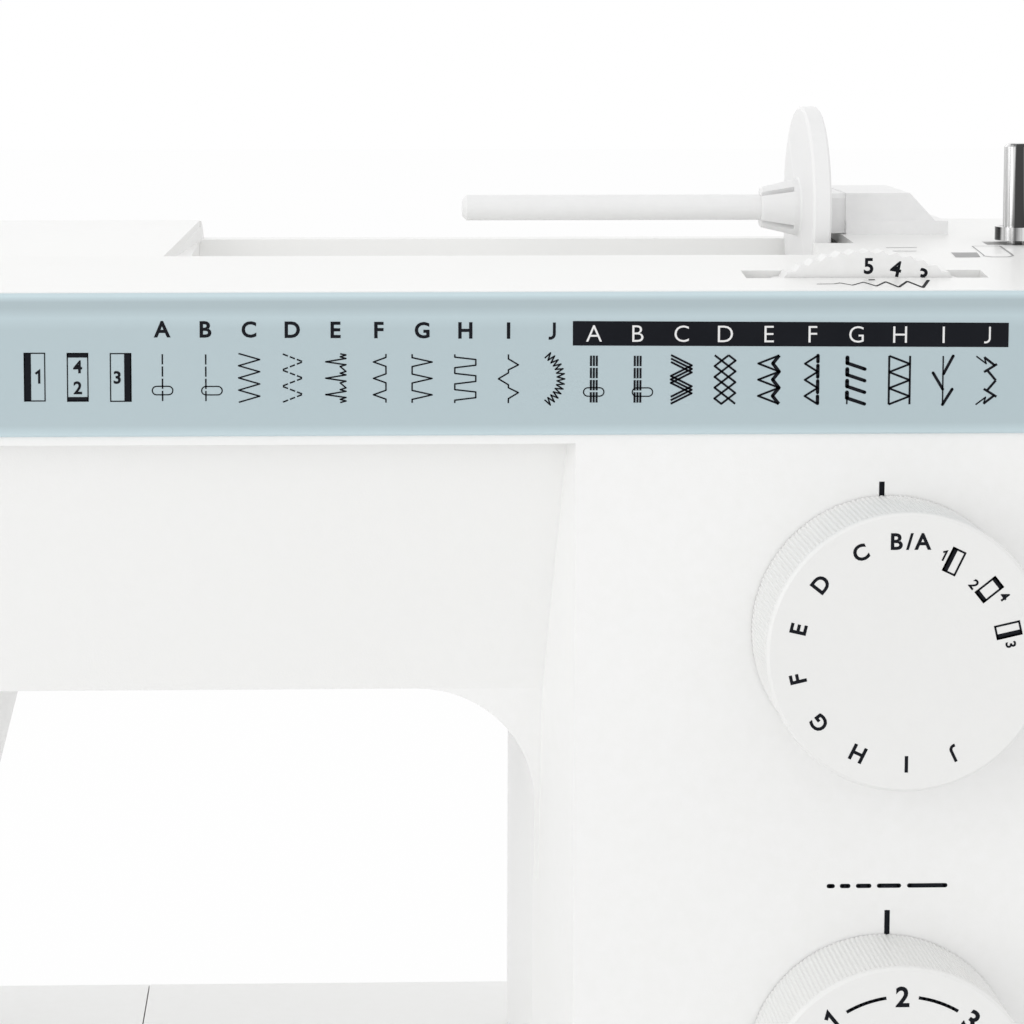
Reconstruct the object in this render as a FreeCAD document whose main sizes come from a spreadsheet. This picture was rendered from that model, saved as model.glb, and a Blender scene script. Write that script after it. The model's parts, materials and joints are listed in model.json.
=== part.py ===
import FreeCAD, Part
import Sketcher
import math
import os
from FreeCAD import Placement, Rotation, Vector

# Household sewing machine. X runs to the right, Y to the back, Z up; all sizes in millimetres.

DOC = FreeCAD.newDocument("SewingMachine")
SHEET = DOC.addObject("Spreadsheet::Sheet", "Sizes")
NODES = []
ROWS = []


class Size:
    """A size with its number and its formula over the sheet's cells."""

    def __init__(self, value, formula):
        self.value = value
        self.formula = formula

    def __add__(self, other):
        other = as_size(other)
        return Size(self.value + other.value, f"({self.formula} + {other.formula})")

    __radd__ = __add__

    def __neg__(self):
        return Size(-self.value, f"(0 - {self.formula})")

    def __sub__(self, other):
        other = as_size(other)
        return Size(self.value - other.value, f"({self.formula} - {other.formula})")

    def __rsub__(self, other):
        return as_size(other) - self

    def __mul__(self, factor):
        factor = as_size(factor)
        return Size(self.value * factor.value, f"({self.formula} * {factor.formula})")

    __rmul__ = __mul__

    def __truediv__(self, factor):
        factor = as_size(factor)
        return Size(self.value / factor.value, f"({self.formula} / {factor.formula})")


def as_size(number):
    return number if isinstance(number, Size) else Size(float(number), f"({float(number)!r})")


def size(alias, number, note):
    """Writes a driving size into the sheet and returns it."""
    row = len(ROWS) + 1
    ROWS.append(alias)
    SHEET.set(f"A{row}", note)
    SHEET.set(f"B{row}", str(number))
    SHEET.setAlias(f"B{row}", alias)
    return Size(float(number), f"Sizes.{alias}")


def bind(item, prop, amount):
    item.setExpression(prop, as_size(amount).formula)


# Driving sizes: the whole machine

machine_width = size("machine_width", 392, "extension table end to handwheel face")
machine_depth = size("machine_depth", 174, "dial faces to rear edge of the base")
wall = size("wall", 2.5, "wall of the plastic covers")
gap = size("gap", 0.3, "gap between pieces that move past each other")
running = size("running", 0.06, "radial clearance of pins and shafts")
feet_height = size("feet_height", 5, "rubber feet")
plate_thick = size("plate_thick", 4, "base plate")
bed_height = size("bed_height", 77, "table to bed surface")
dial_height = size("dial_height", 23, "front panel to dial face")
base_step = size("base_step", 11, "dial faces to front of the base")
body_depth = size("body_depth", 118, "front panel to rear cover")
wheel_reach = size("wheel_reach", 28, "pillar side to handwheel face")
panel_width = size("panel_width", 116.6, "front panel of the pillar")
bevel_width = size("bevel_width", 6.3, "bevel on the pillar, across")
bevel_depth = size("bevel_depth", 30, "bevel on the pillar, front to back")
throat_height = size("throat_height", 102.8, "bed to underside of the arm")
throat_width = size("throat_width", 112.1, "pillar to head")
throat_round = size("throat_round", 25, "rounding between arm and pillar")
arm_front_height = size("arm_front_height", 55, "underside of the arm to the band")
lip_height = size("lip_height", 1.8, "white lip under the strip")
strip_height = size("strip_height", 29, "stitch strip")
arm_setback = size("arm_setback", 6, "arm front behind the panel at its top")
arm_slope = size("arm_slope", 17, "further setback of the arm front at its foot")
shoulder_depth = size("shoulder_depth", 40, "panel to the front edge of the spool recess")
shoulder_rise = size("shoulder_rise", 3.8, "rise of the top over the shoulder")
rear_rise = size("rear_rise", 6.9, "rise of the top at the rear")
head_width = size("head_width", 81, "head without its face cover")
head_drop = size("head_drop", 41.8, "head below the arm")
head_taper = size("head_taper", 11, "inward slant of the head's inner side")
face_thick = size("face_thick", 14, "face cover")
side_round = size("side_round", 12, "upright edges on the right")
needle_reach = size("needle_reach", 163.1, "pillar to needle")
needle_setback = size("needle_setback", 59, "panel to needle")
shaft_rise = size("shaft_rise", 42.2, "underside of the arm to arm shaft")

# Driving sizes: what the user turns and moves

dial_radius = size("dial_radius", 27.8, "both dials at the face")
dial_back = size("dial_back", 26.5, "both dials at the panel")
dial_spacing = size("dial_spacing", 90.7, "between the dial centres")
dial_rise = size("dial_rise", 119.5, "bed to pattern dial centre")
dial_inset = size("dial_inset", 53.3, "dial centres to the pillar side")
wheel_inset = size("wheel_inset", 55.6, "thumbwheel centre to the pillar side")
wheel_radius = size("wheel_radius", 33.2, "stitch width thumbwheel")
wheel_thick = size("wheel_thick", 7, "stitch width thumbwheel")
wheel_setback = size("wheel_setback", 14, "panel to thumbwheel")
wheel_proud = size("wheel_proud", 5.4, "thumbwheel above the top cover")
spool_pin_radius = size("spool_pin_radius", 2.9, "spool pin")
spool_pin_setback = size("spool_pin_setback", 86, "panel to spool pin")
spool_pin_rise = size("spool_pin_rise", 10.9, "strip top to spool pin")
spool_pin_length = size("spool_pin_length", 86, "spool pin outside its stand")
cap_radius = size("cap_radius", 22.8, "spool cap disc")
cap_thick = size("cap_thick", 4.1, "spool cap disc")
trough_radius = size("trough_radius", 26, "spool trough")
recess_left = size("recess_left", 196, "pillar side to left end of the recess")
spindle_radius = size("spindle_radius", 2.9, "bobbin winder spindle")
spindle_height = size("spindle_height", 18, "bobbin winder spindle above its flange")
flange_radius = size("flange_radius", 4.7, "bobbin winder flange")
winder_inset = size("winder_inset", 15, "pillar side to winder spindle")
winder_travel = size("winder_travel", 5, "bobbin winder shift")
handwheel_radius = size("handwheel_radius", 36, "handwheel")
free_arm_length = size("free_arm_length", 137.5, "free arm beyond the base")
free_arm_width = size("free_arm_width", 72, "free arm")
free_arm_height = size("free_arm_height", 46, "free arm")
base_reach = size("base_reach", 88.1, "pillar to the seam of the extension table")

# Driving sizes: the works

shaft_radius = size("shaft_radius", 6, "arm shaft")
lower_radius = size("lower_radius", 5, "lower shaft")
lower_rise = size("lower_rise", 47, "lower shaft above the table")
pulley_radius = size("pulley_radius", 12, "timing pulleys")
bar_radius = size("bar_radius", 4, "needle bar and presser bar")
bar_spacing = size("bar_spacing", 16, "needle bar to presser bar")
hook_radius = size("hook_radius", 17, "rotary hook")
motor_radius = size("motor_radius", 24, "motor")

tension_radius = size("tension_radius", 14, "thread tension dial")
axle_radius = size("axle_radius", 4, "shafts of dials and thumbwheel")
strip_thick = size("strip_thick", 2, "stitch strip")
strip_sink = size("strip_sink", 1.2, "stitch strip set into the band")
handle_width = size("handle_width", 122, "carry handle between its ears")
handle_drop = size("handle_drop", 45, "carry handle pivot to grip")
pin_radius = size("pin_radius", 1.5, "face cover hinge pin")
stitch_plate = size("stitch_plate", 1.8, "needle plate and hook cover")
knurl_depth = size("knurl_depth", 0.45, "flutes on the dial sides")
knuckle_radius = size("knuckle_radius", 3, "hinge barrels of the face cover")
lug_height = size("lug_height", 8, "hinge lugs of the face cover")
inlet_spacing = size("inlet_spacing", 34, "power switch to power inlet")

# Places that follow from the driving sizes

half_width = machine_width / 2
front = -machine_depth / 2
rear = machine_depth / 2
panel_y = front + dial_height
rear_y = panel_y + body_depth
base_front = front + base_step
pillar_right = half_width - wheel_reach
panel_left = pillar_right - panel_width
pillar_left = panel_left - bevel_width
base_left = pillar_left - base_reach
arm_under = bed_height + throat_height
lip_z = arm_under + arm_front_height
strip_bottom = lip_z + lip_height
strip_top = strip_bottom + strip_height
shoulder_z = strip_top + shoulder_rise
top_z = strip_top + rear_rise
seam_z = strip_top - 2.6
head_right = pillar_left - throat_width
head_left = head_right - head_width
face_left = head_left - face_thick
head_bottom = arm_under - head_drop
needle_x = pillar_left - needle_reach
needle_y = panel_y + needle_setback
presser_y = needle_y + bar_spacing
shaft_z = arm_under + shaft_rise
dial_x = pillar_right - dial_inset
wheel_x = pillar_right - wheel_inset
pattern_z = bed_height + dial_rise
length_z = pattern_z - dial_spacing
split_y = panel_y + body_depth * 0.6
floor_z = feet_height + plate_thick
arm_floor = bed_height - free_arm_height
arm_tip = base_left - free_arm_length
hook_y = needle_y - hook_radius - 1
arm_front_y = hook_y - hook_radius - 6
arm_rear_y = arm_front_y + free_arm_width
far = machine_width
slot_x = needle_x - 19
guide_x = needle_x + 13
slot_end = panel_y + 32
tension_y = panel_y + 22
tension_z = arm_under + 34.2
wheel_top = strip_top + 1.4 + wheel_proud
wheel_z = wheel_top - wheel_radius
wheel_y = panel_y + wheel_setback
lamp_x = needle_x + 28
handle_x = wheel_x - 92
handle_z = seam_z - 13
handle_y = rear_y + 7
lifter_x = needle_x + 14
lifter_z = head_bottom + 22
hinge_y = rear_y + 3.4
hinge_x = head_left - 0.15
lug_low = head_bottom + 22
lug_high = seam_z - 20
trough_y = panel_y + spool_pin_setback
pin_z = strip_top + spool_pin_rise
trough_left = pillar_right - recess_left
trough_right = wheel_x + 5
recess_floor = shoulder_z - 1.9
winder_x = pillar_right - winder_inset
winder_y = needle_y + 1
reverse_x = wheel_x
reverse_z = feet_height + 45
switch_y = needle_y + 15
switch_z = feet_height + 40
inlet_y = switch_y + inlet_spacing
motor_x = wheel_x - 16
motor_y = needle_y - 20
motor_z = floor_z + 46
plate_left = needle_x - 34
plate_right = needle_x + 34
plate_rear = arm_rear_y - 2
plate_split = needle_y - 9.5
table_right = base_left - gap
table_left = -half_width
door_low = feet_height + 8
door_y = base_front
beam_y = needle_y + 19
pulley_x = wheel_x - 37
drive_x = pillar_right - 23
hook_floor = bed_height - 17.5
take_up_y = needle_y - 17
take_up_z = shaft_z + 4
knurl_count = 180


# Helpers for shapes

def box(name, x0, x1, y0, y1, z0, z1):
    item = DOC.addObject("Part::Box", name)
    bind(item, "Length", as_size(x1) - x0)
    bind(item, "Width", as_size(y1) - y0)
    bind(item, "Height", as_size(z1) - z0)
    return place(item, x0, y0, z0)


def place(item, x, y, z, axis="Z"):
    """Turns an item's own Z to the axis and binds its place."""
    turns = {"Z": Rotation(), "X": Rotation(Vector(0, 1, 0), 90), "Y": Rotation(Vector(1, 0, 0), -90)}
    item.Placement = Placement(Vector(0, 0, 0), turns[axis])
    bind(item, "Placement.Base.x", x)
    bind(item, "Placement.Base.y", y)
    bind(item, "Placement.Base.z", z)
    return item


def rod(name, axis, radius, start, end, across, up):
    """A round bar along an axis; across and up are the two other coordinates in X, Y, Z order."""
    item = DOC.addObject("Part::Cylinder", name)
    bind(item, "Radius", radius)
    bind(item, "Height", as_size(end) - start)
    spots = {"X": (start, across, up), "Y": (across, start, up), "Z": (across, up, start)}
    return place(item, *spots[axis], axis)


def fuse(name, *items):
    item = DOC.addObject("Part::MultiFuse", name)
    item.Shapes = list(items)
    item.Refine = True
    return item


def cut(name, base, *tools):
    item = DOC.addObject("Part::Cut", name)
    item.Base = base
    item.Tool = tools[0] if len(tools) == 1 else fuse(name + "_tools", *tools)
    return item


def common(name, *items):
    item = DOC.addObject("Part::MultiCommon", name)
    item.Shapes = list(items)
    return item


def outline(body, name, plane, points):
    """A closed sketch with every corner bound to the sheet."""
    sketch = body.newObject("Sketcher::SketchObject", name + "_sketch")
    support = [item for item in body.Origin.OriginFeatures if item.Role == plane + "_Plane"][0]
    sketch.AttachmentSupport = [(support, "")]
    sketch.MapMode = "FlatFace"
    corners = [(as_size(u), as_size(v)) for u, v in points]
    spots = [Vector(u.value, v.value, 0) for u, v in corners]
    count = len(spots)
    sketch.addGeometry([Part.LineSegment(spots[i], spots[(i + 1) % count]) for i in range(count)], False)
    rules = [Sketcher.Constraint("Coincident", i, 2, (i + 1) % count, 1) for i in range(count)]
    for i in range(count):
        rules.append(Sketcher.Constraint("DistanceX", -1, 1, i, 1, spots[i].x))
        rules.append(Sketcher.Constraint("DistanceY", -1, 1, i, 1, spots[i].y))
    sketch.addConstraint(rules)
    for i, (u, v) in enumerate(corners):
        bind(sketch, f"Constraints[{count + 2 * i}]", u)
        bind(sketch, f"Constraints[{count + 2 * i + 1}]", v)
    return sketch


def prism(name, plane, points, start, end, rounds=()):
    """Pads an outline between two coordinates on the axis across its plane, with rounded corners."""
    body = DOC.addObject("PartDesign::Body", name)
    sketch = outline(body, name, plane, points)
    backward = plane == "XZ"
    bind(sketch, "AttachmentOffset.Base.z", -as_size(start) if backward else start)
    feature = body.newObject("PartDesign::Pad", name + "_pad")
    feature.Profile = sketch
    feature.Reversed = backward
    bind(feature, "Length", as_size(end) - start)
    body.Tip = feature
    pick = {"XY": lambda p: (p.x, p.y), "XZ": lambda p: (p.x, p.z), "YZ": lambda p: (p.y, p.z)}[plane]
    for number, (corner, radius) in enumerate(rounds):
        DOC.recompute()
        spot = [as_size(value).value for value in points[corner]]
        edges = []
        for i, edge in enumerate(feature.Shape.Edges):
            ends = [pick(vertex.Point) for vertex in edge.Vertexes]
            if all(math.hypot(u - spot[0], v - spot[1]) < 1e-4 for u, v in ends):
                edges.append(f"Edge{i + 1}")
        round_off = body.newObject("PartDesign::Fillet", f"{name}_round{number}")
        round_off.Base = (feature, edges)
        bind(round_off, "Radius", radius)
        body.Tip = round_off
        feature = round_off
    return body


def turned(name, axis, points, x, y, z):
    """Turns a profile of (radius, distance along the axis) pairs."""
    body = DOC.addObject("PartDesign::Body", name)
    sketch = outline(body, name, "XZ", points)
    feature = body.newObject("PartDesign::Revolution", name + "_turn")
    feature.Profile = sketch
    feature.ReferenceAxis = (sketch, ["V_Axis"])
    feature.Angle = 360
    body.Tip = feature
    return place(body, x, y, z, axis)


def fluted(name, axis, radius, depth, count, start, end, across, up):
    """A bar whose edge has evenly spaced flutes; depth is from crest to root."""
    spots = []
    for i in range(count):
        for share, reach in ((0, radius.value), (0.5, radius.value - as_size(depth).value)):
            angle = 2 * math.pi * (i + share) / count
            spots.append(Vector(reach * math.cos(angle), reach * math.sin(angle), 0))
    face = Part.Face(Part.makePolygon(spots + spots[:1]))
    item = DOC.addObject("Part::Feature", name)
    item.Shape = face.extrude(Vector(0, 0, as_size(end).value - as_size(start).value))
    places = {"X": (start, across, up), "Y": (across, start, up), "Z": (across, up, start)}
    return place(item, *places[axis], axis)


def loop_face(first, first_radius, second, second_radius):
    """The flat shape round two circles in the YZ plane, made of two arcs and two tangents."""
    along = second - first
    lean = math.acos((first_radius - second_radius) / along.Length)
    heading = math.atan2(along.z, along.y)

    def spot(centre, radius, angle):
        return centre + Vector(0, radius * math.cos(angle), radius * math.sin(angle))

    low, high = heading - lean, heading + lean
    near = Part.Arc(spot(first, first_radius, high), spot(first, first_radius, heading + math.pi),
                    spot(first, first_radius, low)).toShape()
    far = Part.Arc(spot(second, second_radius, low), spot(second, second_radius, heading),
                   spot(second, second_radius, high)).toShape()
    right = Part.makeLine(spot(first, first_radius, low), spot(second, second_radius, low))
    left = Part.makeLine(spot(second, second_radius, high), spot(first, first_radius, high))
    return Part.Face(Part.Wire([near, right, far, left]))


def belt(name, first, first_radius, second, second_radius, thick, start, end):
    """A belt round two pulleys whose axes run along X."""
    points = [Vector(0, as_size(spot[0]).value, as_size(spot[1]).value) for spot in (first, second)]
    inner = [as_size(radius).value + gap.value for radius in (first_radius, second_radius)]
    outer_face = loop_face(points[0], inner[0] + thick, points[1], inner[1] + thick)
    inner_face = loop_face(points[0], inner[0], points[1], inner[1])
    width = Vector(as_size(end).value - as_size(start).value, 0, 0)
    item = DOC.addObject("Part::Feature", name)
    item.Shape = outer_face.extrude(width).cut(inner_face.extrude(width))
    bind(item, "Placement.Base.x", start)
    return item


def node(label, item):
    item.Label = label
    NODES.append(item)
    return item


# Upper body: one outer and one inner form, shared by the covers

def side_outline(inset):
    """Section of arm and head across X, moved inward by a wall."""
    foot = panel_y + arm_setback + arm_slope
    return [
        (panel_y + inset, strip_top - inset * 0.9),
        (panel_y + inset, lip_z + inset),
        (panel_y + arm_setback + inset, lip_z + inset),
        (foot + inset, arm_under),
        (foot + 3 + inset, head_bottom + inset),
        (rear_y - inset, head_bottom + inset),
        (rear_y - inset, top_z - inset),
        (panel_y + shoulder_depth, shoulder_z - inset),
    ]


def upper_form(name, inset, left):
    """Arm, head and pillar as one solid with the throat cut out."""
    inset = as_size(inset)
    right = pillar_right - inset
    corner = side_round - inset
    arm = prism(name + "_arm", "YZ", side_outline(inset), left, right, [(6, 9 - inset)])
    plan = [(left - 1, panel_y + inset), (right, panel_y + inset), (right, rear_y - inset),
            (left - 1, rear_y - inset)]
    limits = prism(name + "_plan", "XY", plan, head_bottom - 1, top_z + 1, [(1, corner), (2, corner)])
    pillar_plan = [
        (panel_left + inset, panel_y + inset),
        (right, panel_y + inset),
        (right, rear_y - inset),
        (pillar_left + inset, rear_y - inset),
        (pillar_left + inset, panel_y + bevel_depth),
    ]
    pillar = prism(name + "_pillar", "XY", pillar_plan, bed_height, seam_z - 8, [(1, corner), (2, corner)])
    throat = [
        (pillar_left + inset, bed_height - 1),
        (pillar_left + inset, arm_under + inset),
        (head_right - inset, arm_under + inset),
        (head_right - head_taper - inset, head_bottom - 1),
        (head_right - head_taper - inset, bed_height - 1),
    ]
    opening = prism(name + "_throat", "XZ", throat, panel_y - 5, rear_y + 5, [(1, throat_round)])
    upper = common(name + "_upper", arm, limits)
    return cut(name, fuse(name + "_whole", upper, pillar), opening)


outer_form = upper_form("outer", 0, head_left)
inner_form = upper_form("inner", wall, head_left - 1)
shell_form = cut("shell", outer_form, inner_form)


def thread_slots(name):
    """The two thread slots down the front of the head."""
    take_up = box(name + "_left", slot_x - 2.5, slot_x + 2.5, panel_y - 5, slot_end, arm_under - 20,
                  top_z + 5)
    guide = box(name + "_right", guide_x - 2, guide_x + 2, panel_y - 5, slot_end, arm_under - 20, top_z + 5)
    return take_up, guide


def head_openings(name):
    """Where needle bar, presser bar and lamp look out of the head."""
    bars = box(name + "_bars", needle_x - 15, needle_x + 16, needle_y - 12, presser_y + 14, head_bottom - 1,
               head_bottom + wall + 1)
    lamp = box(name + "_lamp", lamp_x - 7, lamp_x + 7, needle_y - 3, needle_y + 19, head_bottom - 1,
               head_bottom + wall + 1)
    return bars, lamp


def front_cover():
    half = box("front_half", -far, far, -far, split_y, 0, seam_z)
    shell = common("front_shell", shell_form, half)
    pocket = box("strip_pocket", head_left - 1, pillar_right - side_round, panel_y - 1,
                 panel_y + strip_sink, strip_bottom, seam_z + 1)
    holes = [rod(f"dial_hole{i}", "Y", axle_radius + gap, panel_y - 1, panel_y + wall + 1, dial_x, z)
             for i, z in enumerate((pattern_z, length_z))]
    dial_gap = box("tension_window", needle_x - 8.5, needle_x + 1.5, panel_y - 5, tension_y + 2,
                   tension_z - tension_radius - 1, tension_z + tension_radius + 1)
    shaft_hole = rod("shaft_hole_front", "X", shaft_radius + 2, pillar_right - 6, pillar_right + 1,
                     needle_y, shaft_z)
    axle = rod("wheel_axle", "Y", axle_radius, panel_y + strip_sink + 0.5, wheel_y + wheel_thick + 3,
               wheel_x, wheel_z)
    carved = cut("front_carved", shell, pocket, *holes, dial_gap, shaft_hole, *thread_slots("front_slots"),
                 *head_openings("front_head"))
    return node("front_cover", fuse("front_cover_whole", carved, axle))


def stitch_strip():
    plate = [
        (panel_y + strip_sink - strip_thick, strip_bottom),
        (panel_y + strip_sink, strip_bottom),
        (panel_y + strip_sink, strip_top - 0.2),
        (panel_y + strip_sink - strip_thick, strip_top - 0.2),
    ]
    low = prism("strip_blank", "YZ", plate, head_left, pillar_right - side_round,
                [(3, strip_thick - strip_sink), (0, 0.5)])
    top_stop = box("strip_stop", -far, far, panel_y, 0, seam_z, strip_top + 1)
    node("stitch_strip", cut("stitch_strip_whole", low, top_stop, *thread_slots("strip_slots")))


def rear_cover():
    half = box("rear_half", -far, far, split_y, far, 0, seam_z)
    shell = common("rear_shell", shell_form, half)
    ears = []
    for side, start in (("left", handle_x - handle_width / 2 - 8), ("right", handle_x + handle_width / 2)):
        ear = box("ear_" + side, start, start + 8, rear_y - 1, handle_y + 5, handle_z - 7, handle_z + 7)
        ears.append(ear)
    for name, low in (("low", lug_low), ("high", lug_high)):
        barrel = rod("lug_barrel_" + name, "Z", knuckle_radius, low, low + lug_height, hinge_x, hinge_y)
        root = box("lug_root_" + name, head_left, head_left + 8, rear_y - 0.5, hinge_y + knuckle_radius,
                   low, low + lug_height)
        ears.append(fuse("hinge_lug_" + name, barrel, root))
    bores = [
        rod("handle_bore", "X", bar_radius - 1 + running, handle_x - handle_width / 2 - 5,
            handle_x + handle_width / 2 + 5, handle_y, handle_z),
        rod("lifter_bore", "Y", bar_radius + running, rear_y - 6, rear_y + 1, lifter_x, lifter_z),
        rod("pin_bore", "Z", pin_radius, lug_low - 1, lug_high + 9, hinge_x, hinge_y),
        rod("shaft_hole_rear", "X", shaft_radius + 2, pillar_right - 6, pillar_right + 1, needle_y,
            shaft_z),
    ]
    whole = fuse("rear_whole", shell, *ears)
    node("rear_cover", cut("rear_cover_whole", whole, *bores, *head_openings("rear_head")))
    node("face_hinge_pin",
         rod("face_pin", "Z", pin_radius, lug_low, lug_high + lug_height, hinge_x, hinge_y))


def top_cover():
    lid = common("lid_shell", shell_form, box("lid_half", -far, far, -far, far, seam_z, far))
    trough_z = pin_z + 1
    barrel = rod("trough_barrel", "X", trough_radius + wall, trough_left - wall, trough_right + wall,
                 trough_y, trough_z)
    below = box("trough_below", -far, far, split_y - 35, rear_y - wall, seam_z - 20, recess_floor)
    pan = common("trough_pan", barrel, below)
    scoop = rod("trough_scoop", "X", trough_radius, trough_left, trough_right, trough_y, trough_z)
    flat_plan = [
        (trough_left - 5, panel_y + shoulder_depth),
        (wheel_x - 6, panel_y + shoulder_depth),
        (wheel_x + 2, rear_y + 2),
        (trough_left + 1, rear_y + 2),
    ]
    flat = prism("recess_flat", "XY", flat_plan, recess_floor, top_z + 5)
    floor = prism("recess_plate", "XY", flat_plan, recess_floor - wall, recess_floor)
    floor_in = common("recess_floor", floor, outer_form)
    wheel_slot = box("wheel_slot", wheel_x - 25.2, wheel_x + 24.6, wheel_y - 0.8,
                     wheel_y + wheel_thick + 0.8, seam_z, top_z + 5)
    winder_slot = box("winder_slot", winder_x - 7, winder_x + winder_travel + 5, winder_y - 3, winder_y + 3,
                      seam_z, top_z + 5)
    carved = cut("lid_carved", fuse("lid_whole", lid, pan, floor_in), scoop, flat, wheel_slot, winder_slot,
                 *thread_slots("lid_slots"))
    node("top_cover", carved)


def face_cover():
    """Left end of the head, hollow towards the works."""
    cap = prism("face_blank", "YZ", side_outline(as_size(0)), face_left, head_left - gap, [(6, 9)])
    DOC.recompute()
    edges = []
    for i, edge in enumerate(cap.Shape.Edges):
        if all(abs(vertex.X - face_left.value) < 1e-4 for vertex in edge.Vertexes):
            edges.append((i + 1, 3.5, 3.5))
    soft = DOC.addObject("Part::Fillet", "face_soft")
    soft.Base = cap
    soft.Edges = edges
    hollow = prism("face_hollow", "YZ", side_outline(wall), face_left + wall + 1, head_left + 1,
                   [(6, 9 - wall)])
    knuckle = rod("face_knuckle", "Z", knuckle_radius, lug_low + lug_height + gap, lug_high - gap,
                  hinge_x, hinge_y)
    web = box("face_web", head_left - 7, head_left - gap, rear_y - 1, hinge_y, lug_low + lug_height + gap,
              lug_high - gap)
    bore = rod("face_bore", "Z", pin_radius + running, lug_low, lug_high + lug_height, hinge_x, hinge_y)
    body = fuse("face_whole", cut("face_shell", soft, hollow), web, knuckle)
    node("face_cover", cut("face_cover_whole", body, bore))


# Base, free arm and extension table

def base_parts():
    soft = size("base_round", 6, "long upper edges of the base")
    section = [(base_front, floor_z), (rear, floor_z), (rear, bed_height), (base_front, bed_height)]
    block = prism("base_block", "YZ", section, base_left, pillar_right, [(2, soft), (3, soft)])
    plan = [(base_left - 1, base_front), (pillar_right, base_front), (pillar_right, rear),
            (base_left - 1, rear)]
    limits = prism("base_limits", "XY", plan, floor_z - 1, bed_height + 1,
                   [(1, side_round), (2, side_round)])
    hollow = box("base_hollow", base_left + wall, pillar_right - wall - 1, base_front + wall + 1,
                 rear - wall - 1, floor_z - 1, bed_height - wall)
    well = box("base_well", pillar_left + wall + 3, pillar_right - wall - 3, panel_y + wall + 3,
               rear_y - wall - 3, bed_height - 9, bed_height + 1)
    arm_way = box("base_arm_way", base_left - 1, base_left + wall + 1, arm_front_y + wall,
                  arm_rear_y - wall, arm_floor + wall, bed_height - wall)
    slot = box("reverse_slot", reverse_x - 3.5, reverse_x + 3.5, base_front - 1, base_front + wall + 2,
               reverse_z - 12, reverse_z + 5)
    ears = []
    for side, start in (("left", reverse_x - 6.4), ("right", reverse_x + 3.4)):
        ears.append(box("reverse_ear_" + side, start, start + 3, base_front + wall, base_front + 18,
                        reverse_z - 5, reverse_z + 5))
    pivot = rod("reverse_bore", "X", 2 + running, reverse_x - 8, reverse_x + 8, base_front + 13, reverse_z)
    switch_hole = box("switch_hole", pillar_right - wall - 2, pillar_right + 1, switch_y - 9.4,
                      switch_y + 9.4, switch_z - 7.4, switch_z + 7.4)
    inlet_hole = box("inlet_hole", pillar_right - wall - 2, pillar_right + 1, inlet_y - 12, inlet_y + 12,
                     switch_z - 10, switch_z + 10)
    shell = cut("base_shell", common("base_outer", block, limits), hollow, well, arm_way, slot, switch_hole,
                inlet_hole)
    node("base_housing", cut("base_housing_whole", fuse("base_eared", shell, *ears), pivot))

    floor_plan = [(base_left, base_front), (pillar_right, base_front), (pillar_right, rear),
                  (base_left, rear)]
    plate = prism("plate_blank", "XY", floor_plan, feet_height, floor_z, [(1, side_round), (2, side_round)])
    cradle = box("motor_cradle", motor_x + 6, motor_x + 38, motor_y - 15, motor_y + 15, floor_z - 1,
                 motor_z - 16)
    seat = rod("motor_seat", "X", motor_radius + 0.02, motor_x - 1, motor_x + 45, motor_y, motor_z)
    node("base_plate", cut("base_plate_whole", fuse("plate_cradle", plate, cradle), seat))

    feet = []
    pad = [(0, 0), (8, 0), (9.5, 2), (9.5, feet_height), (0, feet_height)]
    for i, x in enumerate((base_left + 16, pillar_right - 18)):
        for j, y in enumerate((base_front + 16, rear - 16)):
            feet.append(turned(f"foot{i}{j}", "Z", pad, x, y, 0))
    node("rubber_feet", fuse("rubber_feet_whole", *feet))


def free_arm():
    plan = [(arm_tip, arm_front_y), (base_left, arm_front_y), (base_left, arm_rear_y),
            (arm_tip, arm_rear_y)]
    blank = prism("arm_blank", "XY", plan, arm_floor, bed_height, [(0, 14), (3, 14)])
    hollow = box("arm_hollow", arm_tip + wall + 4, base_left + 1, arm_front_y + wall, arm_rear_y - wall,
                 arm_floor + wall, bed_height - wall)
    seat = box("plate_seat", plate_left - 0.2, plate_right + 0.2, arm_front_y + 1.8, plate_rear + 0.2,
               bed_height - stitch_plate, bed_height + 1)
    opening = box("plate_opening", plate_left + 3, plate_right - 3, arm_front_y + wall + 2,
                  plate_rear - 2.5, bed_height - 10, bed_height + 1)
    node("free_arm_cover", cut("free_arm_whole", blank, hollow, seat, opening))


def bed_plates():
    plate = box("needle_blank", plate_left, plate_right, plate_split, plate_rear,
                bed_height - stitch_plate, bed_height)
    hole = box("needle_hole", needle_x - 4, needle_x + 4, needle_y - 1.2, needle_y + 1.2, bed_height - 5,
               bed_height + 1)
    slots = [box(f"feed_slot{i}", needle_x + x - 1.9, needle_x + x + 1.9, needle_y + 1.7, needle_y + 28,
                 bed_height - 5, bed_height + 1) for i, x in enumerate((-6, 6))]
    node("needle_plate", cut("needle_plate_whole", plate, hole, *slots))
    node("hook_cover", box("hook_cover_plate", plate_left, plate_right, arm_front_y + 2.1,
                           plate_split - gap, bed_height - stitch_plate, bed_height))
    rows = [box(f"feed_row{i}", needle_x + x - 1.3, needle_x + x + 1.3, needle_y + 4.5, needle_y + 24,
                bed_height - 10, bed_height + 0.7) for i, x in enumerate((-6, 6))]
    bridge = box("feed_bridge", needle_x - 8, needle_x + 8, needle_y + 4.5, needle_y + 24, bed_height - 12,
                 bed_height - 7)
    node("feed_dog", fuse("feed_dog_whole", bridge, *rows))
    node("feed_bar", box("feed_bar_block", needle_x - 8, needle_x + 8, needle_y + 8, needle_y + 25,
                         bed_height - 16.5, bed_height - 12))


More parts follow.
